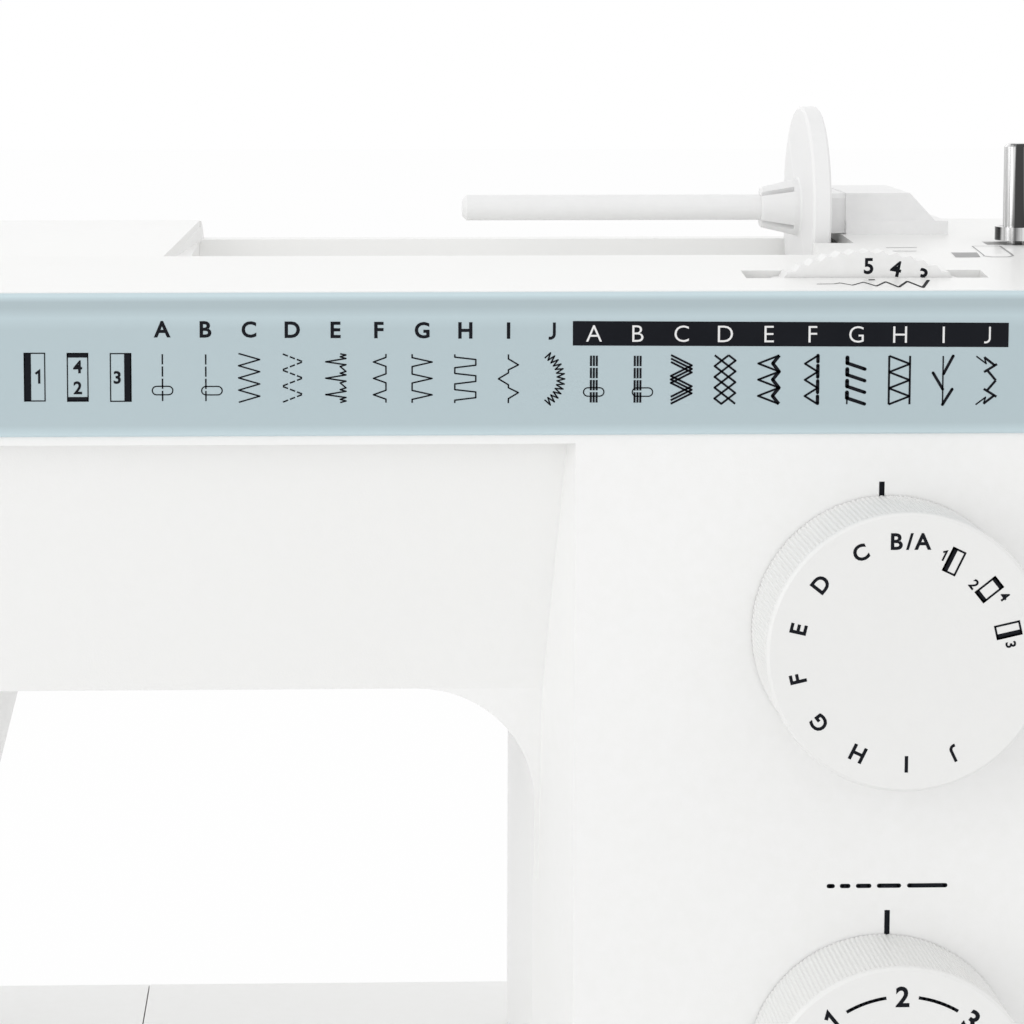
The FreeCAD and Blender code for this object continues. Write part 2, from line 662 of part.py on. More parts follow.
def extension_table():
    low = feet_height - 2
    plan = [(table_left, base_front), (table_right, base_front), (table_right, rear), (table_left, rear)]
    blank = prism("table_plan", "XY", plan, low, bed_height, [(0, side_round), (3, side_round)])
    section = [(base_front, low), (rear, low), (rear, bed_height), (base_front, bed_height)]
    soft = prism("table_section", "YZ", section, table_left - 1, table_right + 1, [(2, 6), (3, 6)])
    arm_way = box("table_arm_way", arm_tip - gap, table_right + 1, arm_front_y - gap, arm_rear_y + gap,
                  arm_floor - gap, bed_height + 1)
    store = box("table_store", table_left + side_round, table_right - 4, base_front - 1,
                arm_front_y - wall - gap, door_low, bed_height - 8)
    rear_hollow = box("table_hollow", table_left + side_round, table_right - wall, arm_rear_y + wall + gap,
                      rear - wall - 3, low - 1, bed_height - wall)
    under = box("table_under", arm_tip, table_right - wall, arm_front_y + 2, arm_rear_y - 2, low - 1,
                arm_floor - wall - gap)
    bore = rod("door_bore", "X", 1.5, table_left + side_round - 3, table_right - 1, door_y + 4,
               door_low + 4)
    rounded = common("table_outer", blank, soft)
    node("extension_table", cut("table_whole", rounded, arm_way, store, rear_hollow, under, bore))
    door_left = table_left + side_round + gap
    door_right = table_right - 4 - gap
    leaf = box("door_leaf", door_left, door_right, door_y, door_y + wall, door_low + 4,
               bed_height - 8 - gap)
    barrel = rod("door_barrel", "X", 3, door_left, door_right, door_y + 4, door_low + 4)
    pin = rod("door_pin", "X", 1.5 - running, door_left - 2.5, door_right + 2.5, door_y + 4, door_low + 4)
    node("accessory_door", fuse("door_whole", leaf, barrel, pin))


# Dials, thumbwheel, levers

def dial(label, z):
    """A flared dial with a knurled side, a bevelled face edge and its shaft."""
    start = panel_y - gap
    face = gap - dial_height
    profile = [(0, 0), (dial_back, 0), (dial_radius, face + 1.2), (dial_radius - 1.2, face), (0, face)]
    knob = turned(label + "_turned", "Y", profile, dial_x, start, z)
    ribs = fluted(label + "_ribs", "Y", dial_radius, knurl_depth, knurl_count, start - dial_height, start,
                  dial_x, z)
    core = [(0, 0), (dial_back - 0.4, 0), (dial_radius - 1.3, face), (0, face)]
    side = turned(label + "_core", "Y", core, dial_x, start, z)
    cut_knob = common(label + "_knurled", knob, ribs)
    shaft = rod(label + "_shaft", "Y", axle_radius, start - 1, panel_y + 20, dial_x, z)
    node(label, fuse(label + "_whole", cut_knob, side, shaft))


def width_wheel():
    wheel = fluted("wheel_edge", "Y", wheel_radius, 0.7, 72, wheel_y, wheel_y + wheel_thick, wheel_x,
                   wheel_z)
    bore = rod("wheel_bore", "Y", axle_radius + running, wheel_y - 1, wheel_y + wheel_thick + 1, wheel_x,
               wheel_z)
    node("width_wheel", cut("width_wheel_whole", wheel, bore))


def reverse_lever():
    y = base_front + 13
    paddle = [(base_front - 10, reverse_z - 3.5), (base_front - 2, reverse_z - 3), (y + 5, reverse_z - 4),
              (y + 5, reverse_z + 4), (base_front - 2, reverse_z + 3), (base_front - 10, reverse_z + 4.5)]
    arm = prism("reverse_arm", "YZ", paddle, reverse_x - 3, reverse_x + 3)
    pin = rod("reverse_pin", "X", 2, reverse_x - 6, reverse_x + 6, y, reverse_z)
    node("reverse_lever", fuse("reverse_whole", arm, pin))


def power_parts():
    drum = rod("switch_drum", "Y", 7, switch_y - 9, switch_y + 9, pillar_right - 6, switch_z)
    keep = box("switch_keep", pillar_right - 10, pillar_right + 3, switch_y - 10, switch_y + 10,
               switch_z - 8, switch_z + 8)
    node("power_switch", common("switch_whole", drum, keep))
    block = box("inlet_block", pillar_right - 14, pillar_right, inlet_y - 12, inlet_y + 12, switch_z - 10,
                switch_z + 10)
    socket = box("inlet_socket", pillar_right - 10, pillar_right + 1, inlet_y - 8.5, inlet_y + 8.5,
                 switch_z - 5, switch_z + 5)
    node("power_inlet", cut("inlet_whole", block, socket))


# Top: spool holder and bobbin winder

def spool_parts():
    stand_left = trough_right + 1
    profile = [(stand_left, recess_floor), (stand_left + 21, recess_floor), (stand_left + 21, pin_z - 3.4),
               (stand_left + 14.5, pin_z + 3.6), (stand_left, pin_z + 3.6)]
    block = prism("stand_block", "XZ", profile, trough_y - 8, trough_y + 22)
    foot = box("stand_foot", stand_left, stand_left + 23, trough_y - 9, trough_y + 23, recess_floor,
               pin_z - 2.6)
    bore = rod("stand_bore", "X", spool_pin_radius, stand_left - 1, stand_left + 10, trough_y, pin_z)
    node("spool_stand", cut("stand_whole", fuse("stand_both", block, foot), outer_form, bore))
    tip = stand_left - spool_pin_length
    length = spool_pin_length + 10
    peg = [(0, 0), (1.9, 0), (spool_pin_radius, 1), (spool_pin_radius, length), (0, length)]
    node("spool_pin", turned("pin_turned", "X", peg, tip, trough_y, pin_z))
    hole = spool_pin_radius + running
    back = trough_right - 4.5
    cap = [(hole, 0), (hole, -12.8), (4.4, -12.8), (6.5, -cap_thick), (cap_radius - 0.5, -cap_thick),
           (cap_radius, -cap_thick + 0.5), (cap_radius, -0.5), (cap_radius - 0.5, 0)]
    plain = turned("cap_turned", "X", cap, back, trough_y, pin_z)
    grooves = []
    for i in range(4):
        groove = box(f"cap_groove{i}", 0, 7.5, 3.6, 8, -0.9, 0.9)
        groove.Placement = Placement(Vector(0, 0, 0), Rotation(Vector(1, 0, 0), 45 + 90 * i))
        bind(groove, "Placement.Base.x", back - 13.5)
        bind(groove, "Placement.Base.y", trough_y)
        bind(groove, "Placement.Base.z", pin_z)
        grooves.append(groove)
    node("spool_cap", cut("cap_whole", plain, *grooves))


def winder_parts():
    deck = shoulder_z + 1.3
    carriage = box("carriage_plate", winder_x - 9, winder_x + 6, winder_y - 8, winder_y + 8, deck - 7.6,
                   deck - 3.6)
    bore = rod("carriage_bore", "Z", 2 + running, deck - 9, deck, winder_x, winder_y)
    node("winder_carriage", cut("carriage_whole", carriage, bore))
    profile = [(0, -8.6), (2, -8.6), (2, 0.3), (flange_radius, 0.3), (flange_radius, 3.2),
               (spindle_radius, 3.2), (spindle_radius, 2.7 + spindle_height),
               (spindle_radius - 0.7, 3.4 + spindle_height), (0, 3.4 + spindle_height)]
    node("winder_spindle", turned("spindle_turned", "Z", profile, winder_x, winder_y, deck))
    block = box("stopper_block", winder_x + 3, winder_x + 9, winder_y + 14, winder_y + 22, recess_floor,
                deck + 8)
    node("winder_stopper", cut("stopper_whole", block, outer_form))
    guide = box("guide_block", guide_x + 8, guide_x + 20, needle_y + 6, needle_y + 10, recess_floor,
                deck + 9)
    eye = box("guide_eye", guide_x + 11, guide_x + 17, needle_y, needle_y + 20, deck + 3, deck + 6)
    node("thread_guide", cut("guide_whole", guide, outer_form, eye))


# The works

def frame_casting():
    lugs_x = (needle_x + 34, needle_x + 140, pillar_right - 36)
    beam = box("cast_beam", needle_x + 18, pillar_right - 27, beam_y, beam_y + 20, shaft_z - 16,
               shaft_z + 14)
    column = box("cast_column", pulley_x - 5, pulley_x + 25, beam_y, beam_y + 30, floor_z, shaft_z - 16)
    bed = box("cast_bed", needle_x - 17, pulley_x + 25, needle_y + 15, needle_y + 27, lower_rise - 12,
              lower_rise)
    pieces = [beam, column, bed]
    bores = []
    bushes = []
    lower_x = (needle_x + 18, pulley_x - 15)
    for name, places, up, shaft in (("arm", lugs_x, shaft_z, shaft_radius),
                                    ("lower", lower_x, lower_rise, lower_radius)):
        reach = beam_y + 1 if name == "arm" else needle_y + 16
        for i, x in enumerate(places):
            pieces.append(box(f"{name}_lug{i}", x, x + 8, needle_y - 12, reach, up - 10, up + 10))
            bores.append(rod(f"{name}_lug_bore{i}", "X", shaft + 3, x - 1, x + 9, needle_y, up))
            ring = rod(f"{name}_ring{i}", "X", shaft + 3, x, x + 8, needle_y, up)
            bushes.append(cut(f"{name}_bush{i}", ring,
                              rod(f"{name}_run{i}", "X", shaft + running, x - 1, x + 9, needle_y, up)))
    pieces.append(box("hook_arm", needle_x - 18, needle_x - 8, hook_y - 9, needle_y + 16, arm_floor + 3,
                      arm_floor + 8))
    pieces.append(box("hook_seat", needle_x - 18, needle_x + 8, hook_y - 9, hook_y + 6, arm_floor + 3,
                      arm_floor + 8))
    pieces.append(box("feed_post", needle_x - 4, needle_x + 4, needle_y + 15, needle_y + 27, lower_rise - 1,
                      bed_height - 16.5 - gap))
    bores.append(rod("hook_bore", "Z", bar_radius + running, arm_floor + 2, arm_floor + 9, needle_x,
                     hook_y))
    node("frame_casting", cut("casting_whole", fuse("casting_raw", *pieces), *bores))
    node("shaft_bushes", fuse("bushes_whole", *bushes))


def shafts():
    shaft_left = needle_x + 22
    shaft = rod("arm_rod", "X", shaft_radius, shaft_left, pillar_right + 1.5, needle_y, shaft_z)
    crank = rod("arm_crank", "X", 18, shaft_left, shaft_left + 8, needle_y, shaft_z)
    crank_pin = rod("arm_crank_pin", "X", 3, shaft_left - 9, shaft_left + 1, needle_y, shaft_z + 14)
    teeth = fluted("arm_pulley", "X", pulley_radius, 1, 24, pulley_x, pulley_x + 9, needle_y, shaft_z)
    node("arm_shaft", fuse("arm_shaft_whole", shaft, crank, crank_pin, teeth))
    wide = pulley_radius + 18
    groove = [(shaft_radius, 0), (wide, 0), (wide, 3.5), (wide - 2, 3.5), (wide - 2, 8.5), (wide, 8.5),
              (wide, 12), (shaft_radius, 12)]
    node("drive_pulley", turned("drive_turned", "X", groove, drive_x, needle_y, shaft_z))
    rim = [(0, 0), (handwheel_radius - 3, 0), (handwheel_radius, 3), (handwheel_radius, 16),
           (handwheel_radius - 2, 19), (20, 21), (18, wheel_reach - 1.5), (0, wheel_reach - 1.5)]
    wheel = turned("handwheel_turned", "X", rim, pillar_right + 1.5, needle_y, shaft_z)
    grips = fluted("handwheel_grips", "X", handwheel_radius, 1.2, 40, pillar_right,
                   pillar_right + wheel_reach + 1, needle_y, shaft_z)
    node("handwheel", common("handwheel_whole", wheel, grips))

    lower = rod("lower_rod", "X", lower_radius, needle_x - 5, pulley_x + 12, needle_y, lower_rise)
    gear = fluted("lower_gear", "X", as_size(11.2), 1.4, 20, needle_x - 5, needle_x + 5, needle_y,
                  lower_rise)
    low_pulley = fluted("lower_pulley", "X", pulley_radius, 1, 24, pulley_x, pulley_x + 9, needle_y,
                        lower_rise)
    node("lower_shaft", fuse("lower_shaft_whole", lower, gear, low_pulley))
    node("timing_belt", belt("timing_loop", (needle_y, lower_rise), pulley_radius, (needle_y, shaft_z),
                             pulley_radius, 2, pulley_x + 0.5, pulley_x + 8.5))

    can = [(0, 0), (motor_radius - 5, 0), (motor_radius, 4), (motor_radius, 40), (motor_radius - 5, 44),
           (0, 44)]
    node("motor", turned("motor_turned", "X", can, motor_x, motor_y, motor_z))
    nose = motor_x + 44 + gap
    reach = drive_x - nose
    sheave = [(0, 0), (4, 0), (4, reach + 1), (10, reach + 1), (10, reach + 3.5), (8, reach + 3.5),
              (8, reach + 8.5), (10, reach + 8.5), (10, reach + 11), (0, reach + 11)]
    node("motor_pulley", turned("motor_pulley_turned", "X", sheave, nose, motor_y, motor_z))
    node("drive_belt", belt("drive_loop", (motor_y, motor_z), 8, (needle_y, shaft_z), wide - 2, 2.4,
                            drive_x + 3.8, drive_x + 8.2))


def hook_parts():
    top = bed_height - 3
    cup = [(0, 0), (hook_radius, 0), (hook_radius, top - hook_floor), (hook_radius - 2, top - hook_floor),
           (hook_radius - 2, 1.5), (0, 1.5)]
    bowl = turned("hook_bowl", "Z", cup, needle_x, hook_y, hook_floor)
    stem = rod("hook_stem", "Z", bar_radius, arm_floor + 4, hook_floor + 1, needle_x, hook_y)
    gear = fluted("hook_gear", "Z", as_size(5.6), 0.9, 10, lower_rise - 5, lower_rise + 4, needle_x, hook_y)
    node("rotary_hook", fuse("hook_whole", bowl, stem, gear))
    holder_low = hook_floor + 1.5 + gap
    holder = [(0, 0), (hook_radius - 2.4, 0), (hook_radius - 2.4, top - holder_low),
              (hook_radius - 5.6, top - holder_low), (hook_radius - 5.6, 1.2), (0, 1.2)]
    node("bobbin_holder", turned("holder_turned", "Z", holder, needle_x, hook_y, holder_low))
    spool = [(3, 0), (10.3, 0), (10.3, 1), (4, 1), (4, 9.6), (10.3, 9.6), (10.3, 10.6), (3, 10.6)]
    node("bobbin", turned("bobbin_turned", "Z", spool, needle_x, hook_y, holder_low + 1.2 + gap))


def needle_parts():
    foot = bed_height + 50
    node("needle_bar", rod("needle_rod", "Z", bar_radius, foot, shaft_z + 22, needle_x, needle_y))
    holder = [(0, 0), (3, 0), (5.5, 3), (5.5, 12), (0, 12)]
    node("needle_clamp", turned("clamp_turned", "Z", holder, needle_x, needle_y, foot - 12))
    screw = [(0, 0), (1.5, 0), (1.5, 3), (3.2, 3), (3.2, 8), (0, 8)]
    node("clamp_screw", turned("clamp_screw_turned", "X", screw, needle_x + 5.5, needle_y, foot - 6))
    blade_and_shank = [(0, 0), (0.5, 4), (0.5, 16), (1, 18), (1, 26), (0, 26)]
    node("needle", turned("needle_turned", "Z", blade_and_shank, needle_x, needle_y, foot - 38))
    bar = rod("presser_rod", "Z", bar_radius, bed_height + 20, shaft_z + 20, needle_x, presser_y)
    collar = rod("presser_collar", "Z", 8, lifter_z + 3, lifter_z + 12, needle_x, presser_y)
    node("presser_bar", fuse("presser_bar_whole", bar, collar))
    block = box("ankle_block", needle_x - 5, needle_x + 5, presser_y - 7, presser_y + 7, bed_height + 12,
                bed_height + 20)
    tongue = box("ankle_tongue", needle_x - 2, needle_x + 2, presser_y - 7, presser_y + 1, bed_height + 5,
                 bed_height + 13)
    pin = rod("ankle_pin", "X", 1.5, needle_x - 6, needle_x + 6, presser_y - 3, bed_height + 8)
    node("presser_ankle", fuse("ankle_whole", block, tongue, pin))
    low = bed_height + 1
    sole = [(needle_y - 8.5, low + 2.5), (needle_y - 4.5, low), (presser_y, low), (presser_y, low + 2.5),
            (needle_y - 5.5, low + 2.5), (needle_y - 8.5, low + 4)]
    plate = prism("foot_sole", "YZ", sole, needle_x - 10, needle_x + 10)
    slit = box("foot_slit", needle_x - 4, needle_x + 4, needle_y - 3, needle_y + 3, low - 1, low + 6)
    lugs = [box(f"foot_lug{i}", needle_x + x, needle_x + x + 3.6, presser_y - 6.5, presser_y + 0.5,
                low + 2, low + 10)
            for i, x in enumerate((-5.9, 2.3))]
    bore = rod("foot_bore", "X", 1.5 + running, needle_x - 9, needle_x + 9, presser_y - 3, bed_height + 8)
    node("presser_foot", cut("foot_whole", fuse("foot_raw", plate, *lugs), slit, bore))

    bore_way = [rod(f"guide_bore{i}", "Z", bar_radius + running, head_bottom, shaft_z + 30, needle_x, y)
                for i, y in enumerate((needle_y, presser_y))]
    low_lug = box("guide_low", needle_x - 8, needle_x + 8, needle_y - 8, presser_y + 12, head_bottom + 8,
                  head_bottom + 16)
    high_lug = box("guide_high", needle_x - 8, needle_x + 8, needle_y - 8, presser_y + 12, shaft_z - 22,
                   shaft_z - 14)
    back = box("guide_back", needle_x - 16, needle_x + 18, presser_y + 10, presser_y + 16,
               head_bottom + 8, shaft_z + 14)
    side = box("guide_side", needle_x - 16, needle_x - 9, needle_y - 41, presser_y + 16, shaft_z - 12,
               shaft_z + 8)
    pivot = rod("take_up_pin", "X", 2.5, slot_x - 3, needle_x - 15, take_up_y, take_up_z)
    bored = cut("bracket_raw", fuse("bracket_sum", low_lug, high_lug, back), *bore_way)
    node("head_bracket", fuse("bracket_whole", bored, side, pivot))

    stud = rod("tension_stud", "X", 2.5, needle_x - 9, needle_x + 9, tension_y, tension_z)
    discs = [rod(f"tension_disc{i}", "X", 6, needle_x + x, needle_x + x + 1.2, tension_y, tension_z)
             for i, x in enumerate((4, 5.8))]
    node("tension_discs", fuse("discs_whole", stud, *discs))
    ridge = fluted("tension_edge", "X", tension_radius, 0.6, 40, needle_x - 8, needle_x + 1, tension_y,
                   tension_z)
    ridge_bore = rod("tension_bore", "X", 2.5 + running, needle_x - 10, needle_x + 3, tension_y, tension_z)
    node("tension_dial", cut("tension_whole", ridge, ridge_bore))

    lever = [(take_up_y + 5, take_up_z - 5), (take_up_y + 5, take_up_z + 5), (take_up_y - 8, take_up_z + 9),
             (panel_y - 6, take_up_z + 22), (panel_y - 6, take_up_z + 17), (take_up_y - 8, take_up_z)]
    blade = prism("take_up_blade", "YZ", lever, slot_x - 1, slot_x + 1)
    eye = rod("take_up_eye", "X", 1, slot_x - 3, slot_x + 3, panel_y - 3.4, take_up_z + 18.8)
    lever_bore = rod("take_up_bore", "X", 2.5 + running, slot_x - 4, slot_x + 4, take_up_y, take_up_z)
    node("take_up_lever", cut("take_up_whole", blade, eye, lever_bore))

    axle = rod("lifter_axle", "Y", bar_radius, presser_y + 18, rear_y + 9, lifter_x, lifter_z)
    handle = [(lifter_x - 5, lifter_z + 5), (lifter_x - 5, lifter_z - 5), (lifter_x + 17, lifter_z - 38),
              (lifter_x + 25, lifter_z - 34), (lifter_x + 5, lifter_z + 5)]
    node("presser_lifter",
         fuse("lifter_whole", axle, prism("lifter_handle", "XZ", handle, rear_y + 3, rear_y + 9)))
    node("sewing_lamp", box("lamp_block", lamp_x - 7, lamp_x + 7, needle_y - 3, needle_y + 19,
                            head_bottom - 1.5, head_bottom + 8))


def carry_handle():
    left = handle_x - handle_width / 2 + gap
    right = handle_x + handle_width / 2 - gap
    low = handle_z - handle_drop
    legs = [box(f"handle_leg{i}", x, x + 8, handle_y - 4, handle_y + 4, low, handle_z + 3)
            for i, x in enumerate((left, right - 8))]
    grip = rod("handle_grip", "X", 5.8, left, right, handle_y, low)
    pins = rod("handle_pin_left", "X", bar_radius - 1, left - 4.5, left + 1, handle_y, handle_z)
    pins_right = rod("handle_pin_right", "X", bar_radius - 1, right - 1, right + 4.5, handle_y, handle_z)
    node("carry_handle", fuse("handle_whole", *legs, grip, pins, pins_right))


def cover_screws():
    heads = []
    spots = ((pillar_right - 20, bed_height + 20), (pillar_left + 20, bed_height + 20),
             (pillar_right - 20, seam_z - 30), (head_left + 30, seam_z - 12))
    for i, (x, z) in enumerate(spots):
        heads.append(turned(f"screw{i}", "Y", [(0, 0), (3.4, 0), (3.4, 0.8), (2.4, 1.6), (0, 1.6)], x,
                            rear_y, z))
    for i, x in enumerate((plate_left + 8, plate_right - 8)):
        heads.append(turned(f"plate_screw{i}", "Z", [(0, 0), (3, 0), (3, 0.5), (2.2, 0.9), (0, 0.9)], x,
                            needle_y + 20, bed_height))
    node("cover_screws", fuse("screws_whole", *heads))


front_cover()
stitch_strip()
rear_cover()
top_cover()
face_cover()
base_parts()
free_arm()
bed_plates()
extension_table()
dial("pattern_dial", pattern_z)
dial("length_dial", length_z)
width_wheel()
reverse_lever()
power_parts()
spool_parts()
winder_parts()
frame_casting()
shafts()
hook_parts()
needle_parts()
carry_handle()
cover_screws()

DOC.recompute()
problems = [item.Name for item in DOC.Objects if "Invalid" in item.State or "Error" in item.State]
problems += [item.Label for item in NODES if item.Shape.isNull() or not item.Shape.isValid()]
if problems:
    raise RuntimeError("these objects did not build: " + ", ".join(problems))
os.makedirs("parts", exist_ok=True)
for item in NODES:
    item.Shape.exportStep(f"parts/{item.Label}.step")
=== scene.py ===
import json
import math

import bmesh
import bpy
from mathutils import Matrix, Vector
from mathutils.bvhtree import BVHTree


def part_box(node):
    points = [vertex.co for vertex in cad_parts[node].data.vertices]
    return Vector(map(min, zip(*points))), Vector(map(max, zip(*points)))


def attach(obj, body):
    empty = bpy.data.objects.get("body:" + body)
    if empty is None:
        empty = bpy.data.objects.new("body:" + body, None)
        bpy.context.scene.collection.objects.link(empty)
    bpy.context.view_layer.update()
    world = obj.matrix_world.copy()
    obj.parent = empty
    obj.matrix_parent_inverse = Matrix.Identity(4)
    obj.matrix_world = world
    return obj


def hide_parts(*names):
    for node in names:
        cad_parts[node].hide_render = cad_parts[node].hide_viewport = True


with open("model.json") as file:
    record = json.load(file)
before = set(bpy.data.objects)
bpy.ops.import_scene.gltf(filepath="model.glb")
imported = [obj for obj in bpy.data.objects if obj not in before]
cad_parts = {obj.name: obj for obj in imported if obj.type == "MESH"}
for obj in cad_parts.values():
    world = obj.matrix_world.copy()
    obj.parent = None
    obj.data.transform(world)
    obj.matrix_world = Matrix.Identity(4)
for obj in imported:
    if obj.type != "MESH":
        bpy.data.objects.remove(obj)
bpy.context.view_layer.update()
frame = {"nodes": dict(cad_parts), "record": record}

MM = 0.001
INK_LIFT = 0.04 * MM

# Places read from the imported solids

pattern_low, pattern_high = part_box("pattern_dial")
length_low, length_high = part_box("length_dial")
wheel_low, wheel_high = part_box("width_wheel")
strip_low, strip_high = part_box("stitch_strip")
cover_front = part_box("front_cover")[0].y

pattern_centre = (pattern_low + pattern_high) / 2
length_centre = (length_low + length_high) / 2
wheel_centre = (wheel_low + wheel_high) / 2


# Shader groups shared by the materials

def new_group(name, inputs, outputs):
    """An empty shader group with named sockets, and its input and output nodes."""
    group = bpy.data.node_groups.new(name, "ShaderNodeTree")
    for label, kind, value in inputs:
        socket = group.interface.new_socket(label, in_out="INPUT", socket_type=kind)
        if value is not None:
            socket.default_value = value
    for label, kind in outputs:
        group.interface.new_socket(label, in_out="OUTPUT", socket_type=kind)
    start = group.nodes.new("NodeGroupInput")
    end = group.nodes.new("NodeGroupOutput")
    return group, start, end


def noise_node(group, coordinates, detail=3.0):
    """A noise texture that reads the given coordinates."""
    noise = group.nodes.new("ShaderNodeTexNoise")
    noise.inputs["Detail"].default_value = detail
    group.links.new(coordinates, noise.inputs["Vector"])
    return noise


def moulded_skin_group():
    """Cloudy tint, a roughness mask and a fine bump, as on moulded plastic."""
    group, start, end = new_group(
        "moulded_skin",
        [
            ("Tint", "NodeSocketColor", (1, 1, 1, 1)),
            ("Shade", "NodeSocketColor", (0.9, 0.9, 0.9, 1)),
            ("Patch Scale", "NodeSocketFloat", 30.0),
            ("Grain Scale", "NodeSocketFloat", 2500.0),
            ("Grain Height", "NodeSocketFloat", 0.00002),
        ],
        [("Colour", "NodeSocketColor"), ("Mask", "NodeSocketFloat"), ("Normal", "NodeSocketVector")],
    )
    place = group.nodes.new("ShaderNodeTexCoord").outputs["Object"]
    patches = noise_node(group, place)
    grain = noise_node(group, place, 2.0)
    blend = group.nodes.new("ShaderNodeMix")
    blend.data_type = "RGBA"
    bump = group.nodes.new("ShaderNodeBump")
    group.links.new(start.outputs["Patch Scale"], patches.inputs["Scale"])
    group.links.new(start.outputs["Grain Scale"], grain.inputs["Scale"])
    group.links.new(patches.outputs["Fac"], blend.inputs["Factor"])
    group.links.new(start.outputs["Shade"], blend.inputs["A"])
    group.links.new(start.outputs["Tint"], blend.inputs["B"])
    group.links.new(grain.outputs["Fac"], bump.inputs["Height"])
    group.links.new(start.outputs["Grain Height"], bump.inputs["Distance"])
    group.links.new(blend.outputs["Result"], end.inputs["Colour"])
    group.links.new(grain.outputs["Fac"], end.inputs["Mask"])
    group.links.new(bump.outputs["Normal"], end.inputs["Normal"])
    return group


def edge_wear_group():
    """A mask that is high on sharp outer edges, broken up by noise."""
    group, start, end = new_group(
        "edge_wear",
        [
            ("Low", "NodeSocketFloat", 0.52),
            ("High", "NodeSocketFloat", 0.62),
            ("Break Scale", "NodeSocketFloat", 400.0),
        ],
        [("Wear", "NodeSocketFloat")],
    )
    shape = group.nodes.new("ShaderNodeNewGeometry")
    place = group.nodes.new("ShaderNodeTexCoord").outputs["Object"]
    breaks = noise_node(group, place)
    spread = group.nodes.new("ShaderNodeMapRange")
    both = group.nodes.new("ShaderNodeMath")
    both.operation = "MULTIPLY"
    group.links.new(start.outputs["Break Scale"], breaks.inputs["Scale"])
    group.links.new(shape.outputs["Pointiness"], spread.inputs["Value"])
    group.links.new(start.outputs["Low"], spread.inputs["From Min"])
    group.links.new(start.outputs["High"], spread.inputs["From Max"])
    group.links.new(spread.outputs["Result"], both.inputs[0])
    group.links.new(breaks.outputs["Fac"], both.inputs[1])
    group.links.new(both.outputs["Value"], end.inputs["Wear"])
    return group


def brushed_group():
    """Long fine streaks along one axis, as ground or turned metal shows."""
    group, start, end = new_group(
        "brushed_streaks",
        [
            ("Stretch", "NodeSocketVector", (40.0, 3000.0, 3000.0)),
            ("Light", "NodeSocketColor", (0.8, 0.8, 0.8, 1)),
            ("Dark", "NodeSocketColor", (0.6, 0.6, 0.6, 1)),
            ("Depth", "NodeSocketFloat", 0.00001),
            ("Low", "NodeSocketFloat", 0.2),
            ("High", "NodeSocketFloat", 0.8),
        ],
        [("Colour", "NodeSocketColor"), ("Mask", "NodeSocketFloat"), ("Normal", "NodeSocketVector")],
    )
    place = group.nodes.new("ShaderNodeTexCoord").outputs["Object"]
    stretch = group.nodes.new("ShaderNodeVectorMath")
    stretch.operation = "MULTIPLY"
    group.links.new(place, stretch.inputs[0])
    group.links.new(start.outputs["Stretch"], stretch.inputs[1])
    streaks = noise_node(group, stretch.outputs["Vector"])
    streaks.inputs["Scale"].default_value = 1.0
    blend = group.nodes.new("ShaderNodeMix")
    blend.data_type = "RGBA"
    bump = group.nodes.new("ShaderNodeBump")
    contrast = group.nodes.new("ShaderNodeMapRange")
    group.links.new(start.outputs["Low"], contrast.inputs["From Min"])
    group.links.new(start.outputs["High"], contrast.inputs["From Max"])
    group.links.new(streaks.outputs["Fac"], contrast.inputs["Value"])
    group.links.new(contrast.outputs["Result"], blend.inputs["Factor"])
    group.links.new(start.outputs["Dark"], blend.inputs["A"])
    group.links.new(start.outputs["Light"], blend.inputs["B"])
    group.links.new(streaks.outputs["Fac"], bump.inputs["Height"])
    group.links.new(start.outputs["Depth"], bump.inputs["Distance"])
    group.links.new(blend.outputs["Result"], end.inputs["Colour"])
    group.links.new(streaks.outputs["Fac"], end.inputs["Mask"])
    group.links.new(bump.outputs["Normal"], end.inputs["Normal"])
    return group


def strip_bands_group():
    """Painted highlight and shade bands over a height, standing in for the light and shade on the rolled long
    edges of a strip.
    """
    group, start, end = new_group(
        "strip_bands",
        [("Low", "NodeSocketFloat", 0.0), ("High", "NodeSocketFloat", 1.0)],
        [("Band", "NodeSocketFloat")],
    )
    place = group.nodes.new("ShaderNodeTexCoord").outputs["Object"]
    parts = group.nodes.new("ShaderNodeSeparateXYZ")
    height = group.nodes.new("ShaderNodeMapRange")
    ramp = group.nodes.new("ShaderNodeValToRGB")
    # Multipliers of the colour: the plain face, a painted highlight on the ridge and the rolled edges, and
    # painted shade in the groove.
    flat, ridge_highlight, groove_shade, edge = 0.75, 0.83, 0.69, 0.95
    stops = (0.0, 0.08, 0.75, 0.83, 0.9, 0.94, 0.98)
    levels = (edge, flat, flat, ridge_highlight, groove_shade, groove_shade, edge)
    for number, (stop, level) in enumerate(zip(stops, levels)):
        element = ramp.color_ramp.elements[number] if number < 2 else ramp.color_ramp.elements.new(stop)
        element.position = stop
        element.color = (level, level, level, 1)
    group.links.new(place, parts.inputs["Vector"])
    group.links.new(parts.outputs["Z"], height.inputs["Value"])
    group.links.new(start.outputs["Low"], height.inputs["From Min"])
    group.links.new(start.outputs["High"], height.inputs["From Max"])
    group.links.new(height.outputs["Result"], ramp.inputs["Fac"])
    group.links.new(ramp.outputs["Color"], end.inputs["Band"])
    return group


MOULDED = moulded_skin_group()
WEAR = edge_wear_group()
BRUSHED = brushed_group()
PAINTED_STRIP_SHADE = strip_bands_group()


# Materials

def grey(level, warmth=0.0):
    """A near-neutral colour; positive warmth leans to yellow."""
    return (level, level, level - warmth, 1)


def group_node(material, group, **values):
    """A copy of a shader group in a material, with its inputs set by name."""
    node = material.node_tree.nodes.new("ShaderNodeGroup")
    node.node_tree = group
    for label, value in values.items():
        node.inputs[label.replace("_", " ")].default_value = value
    return node


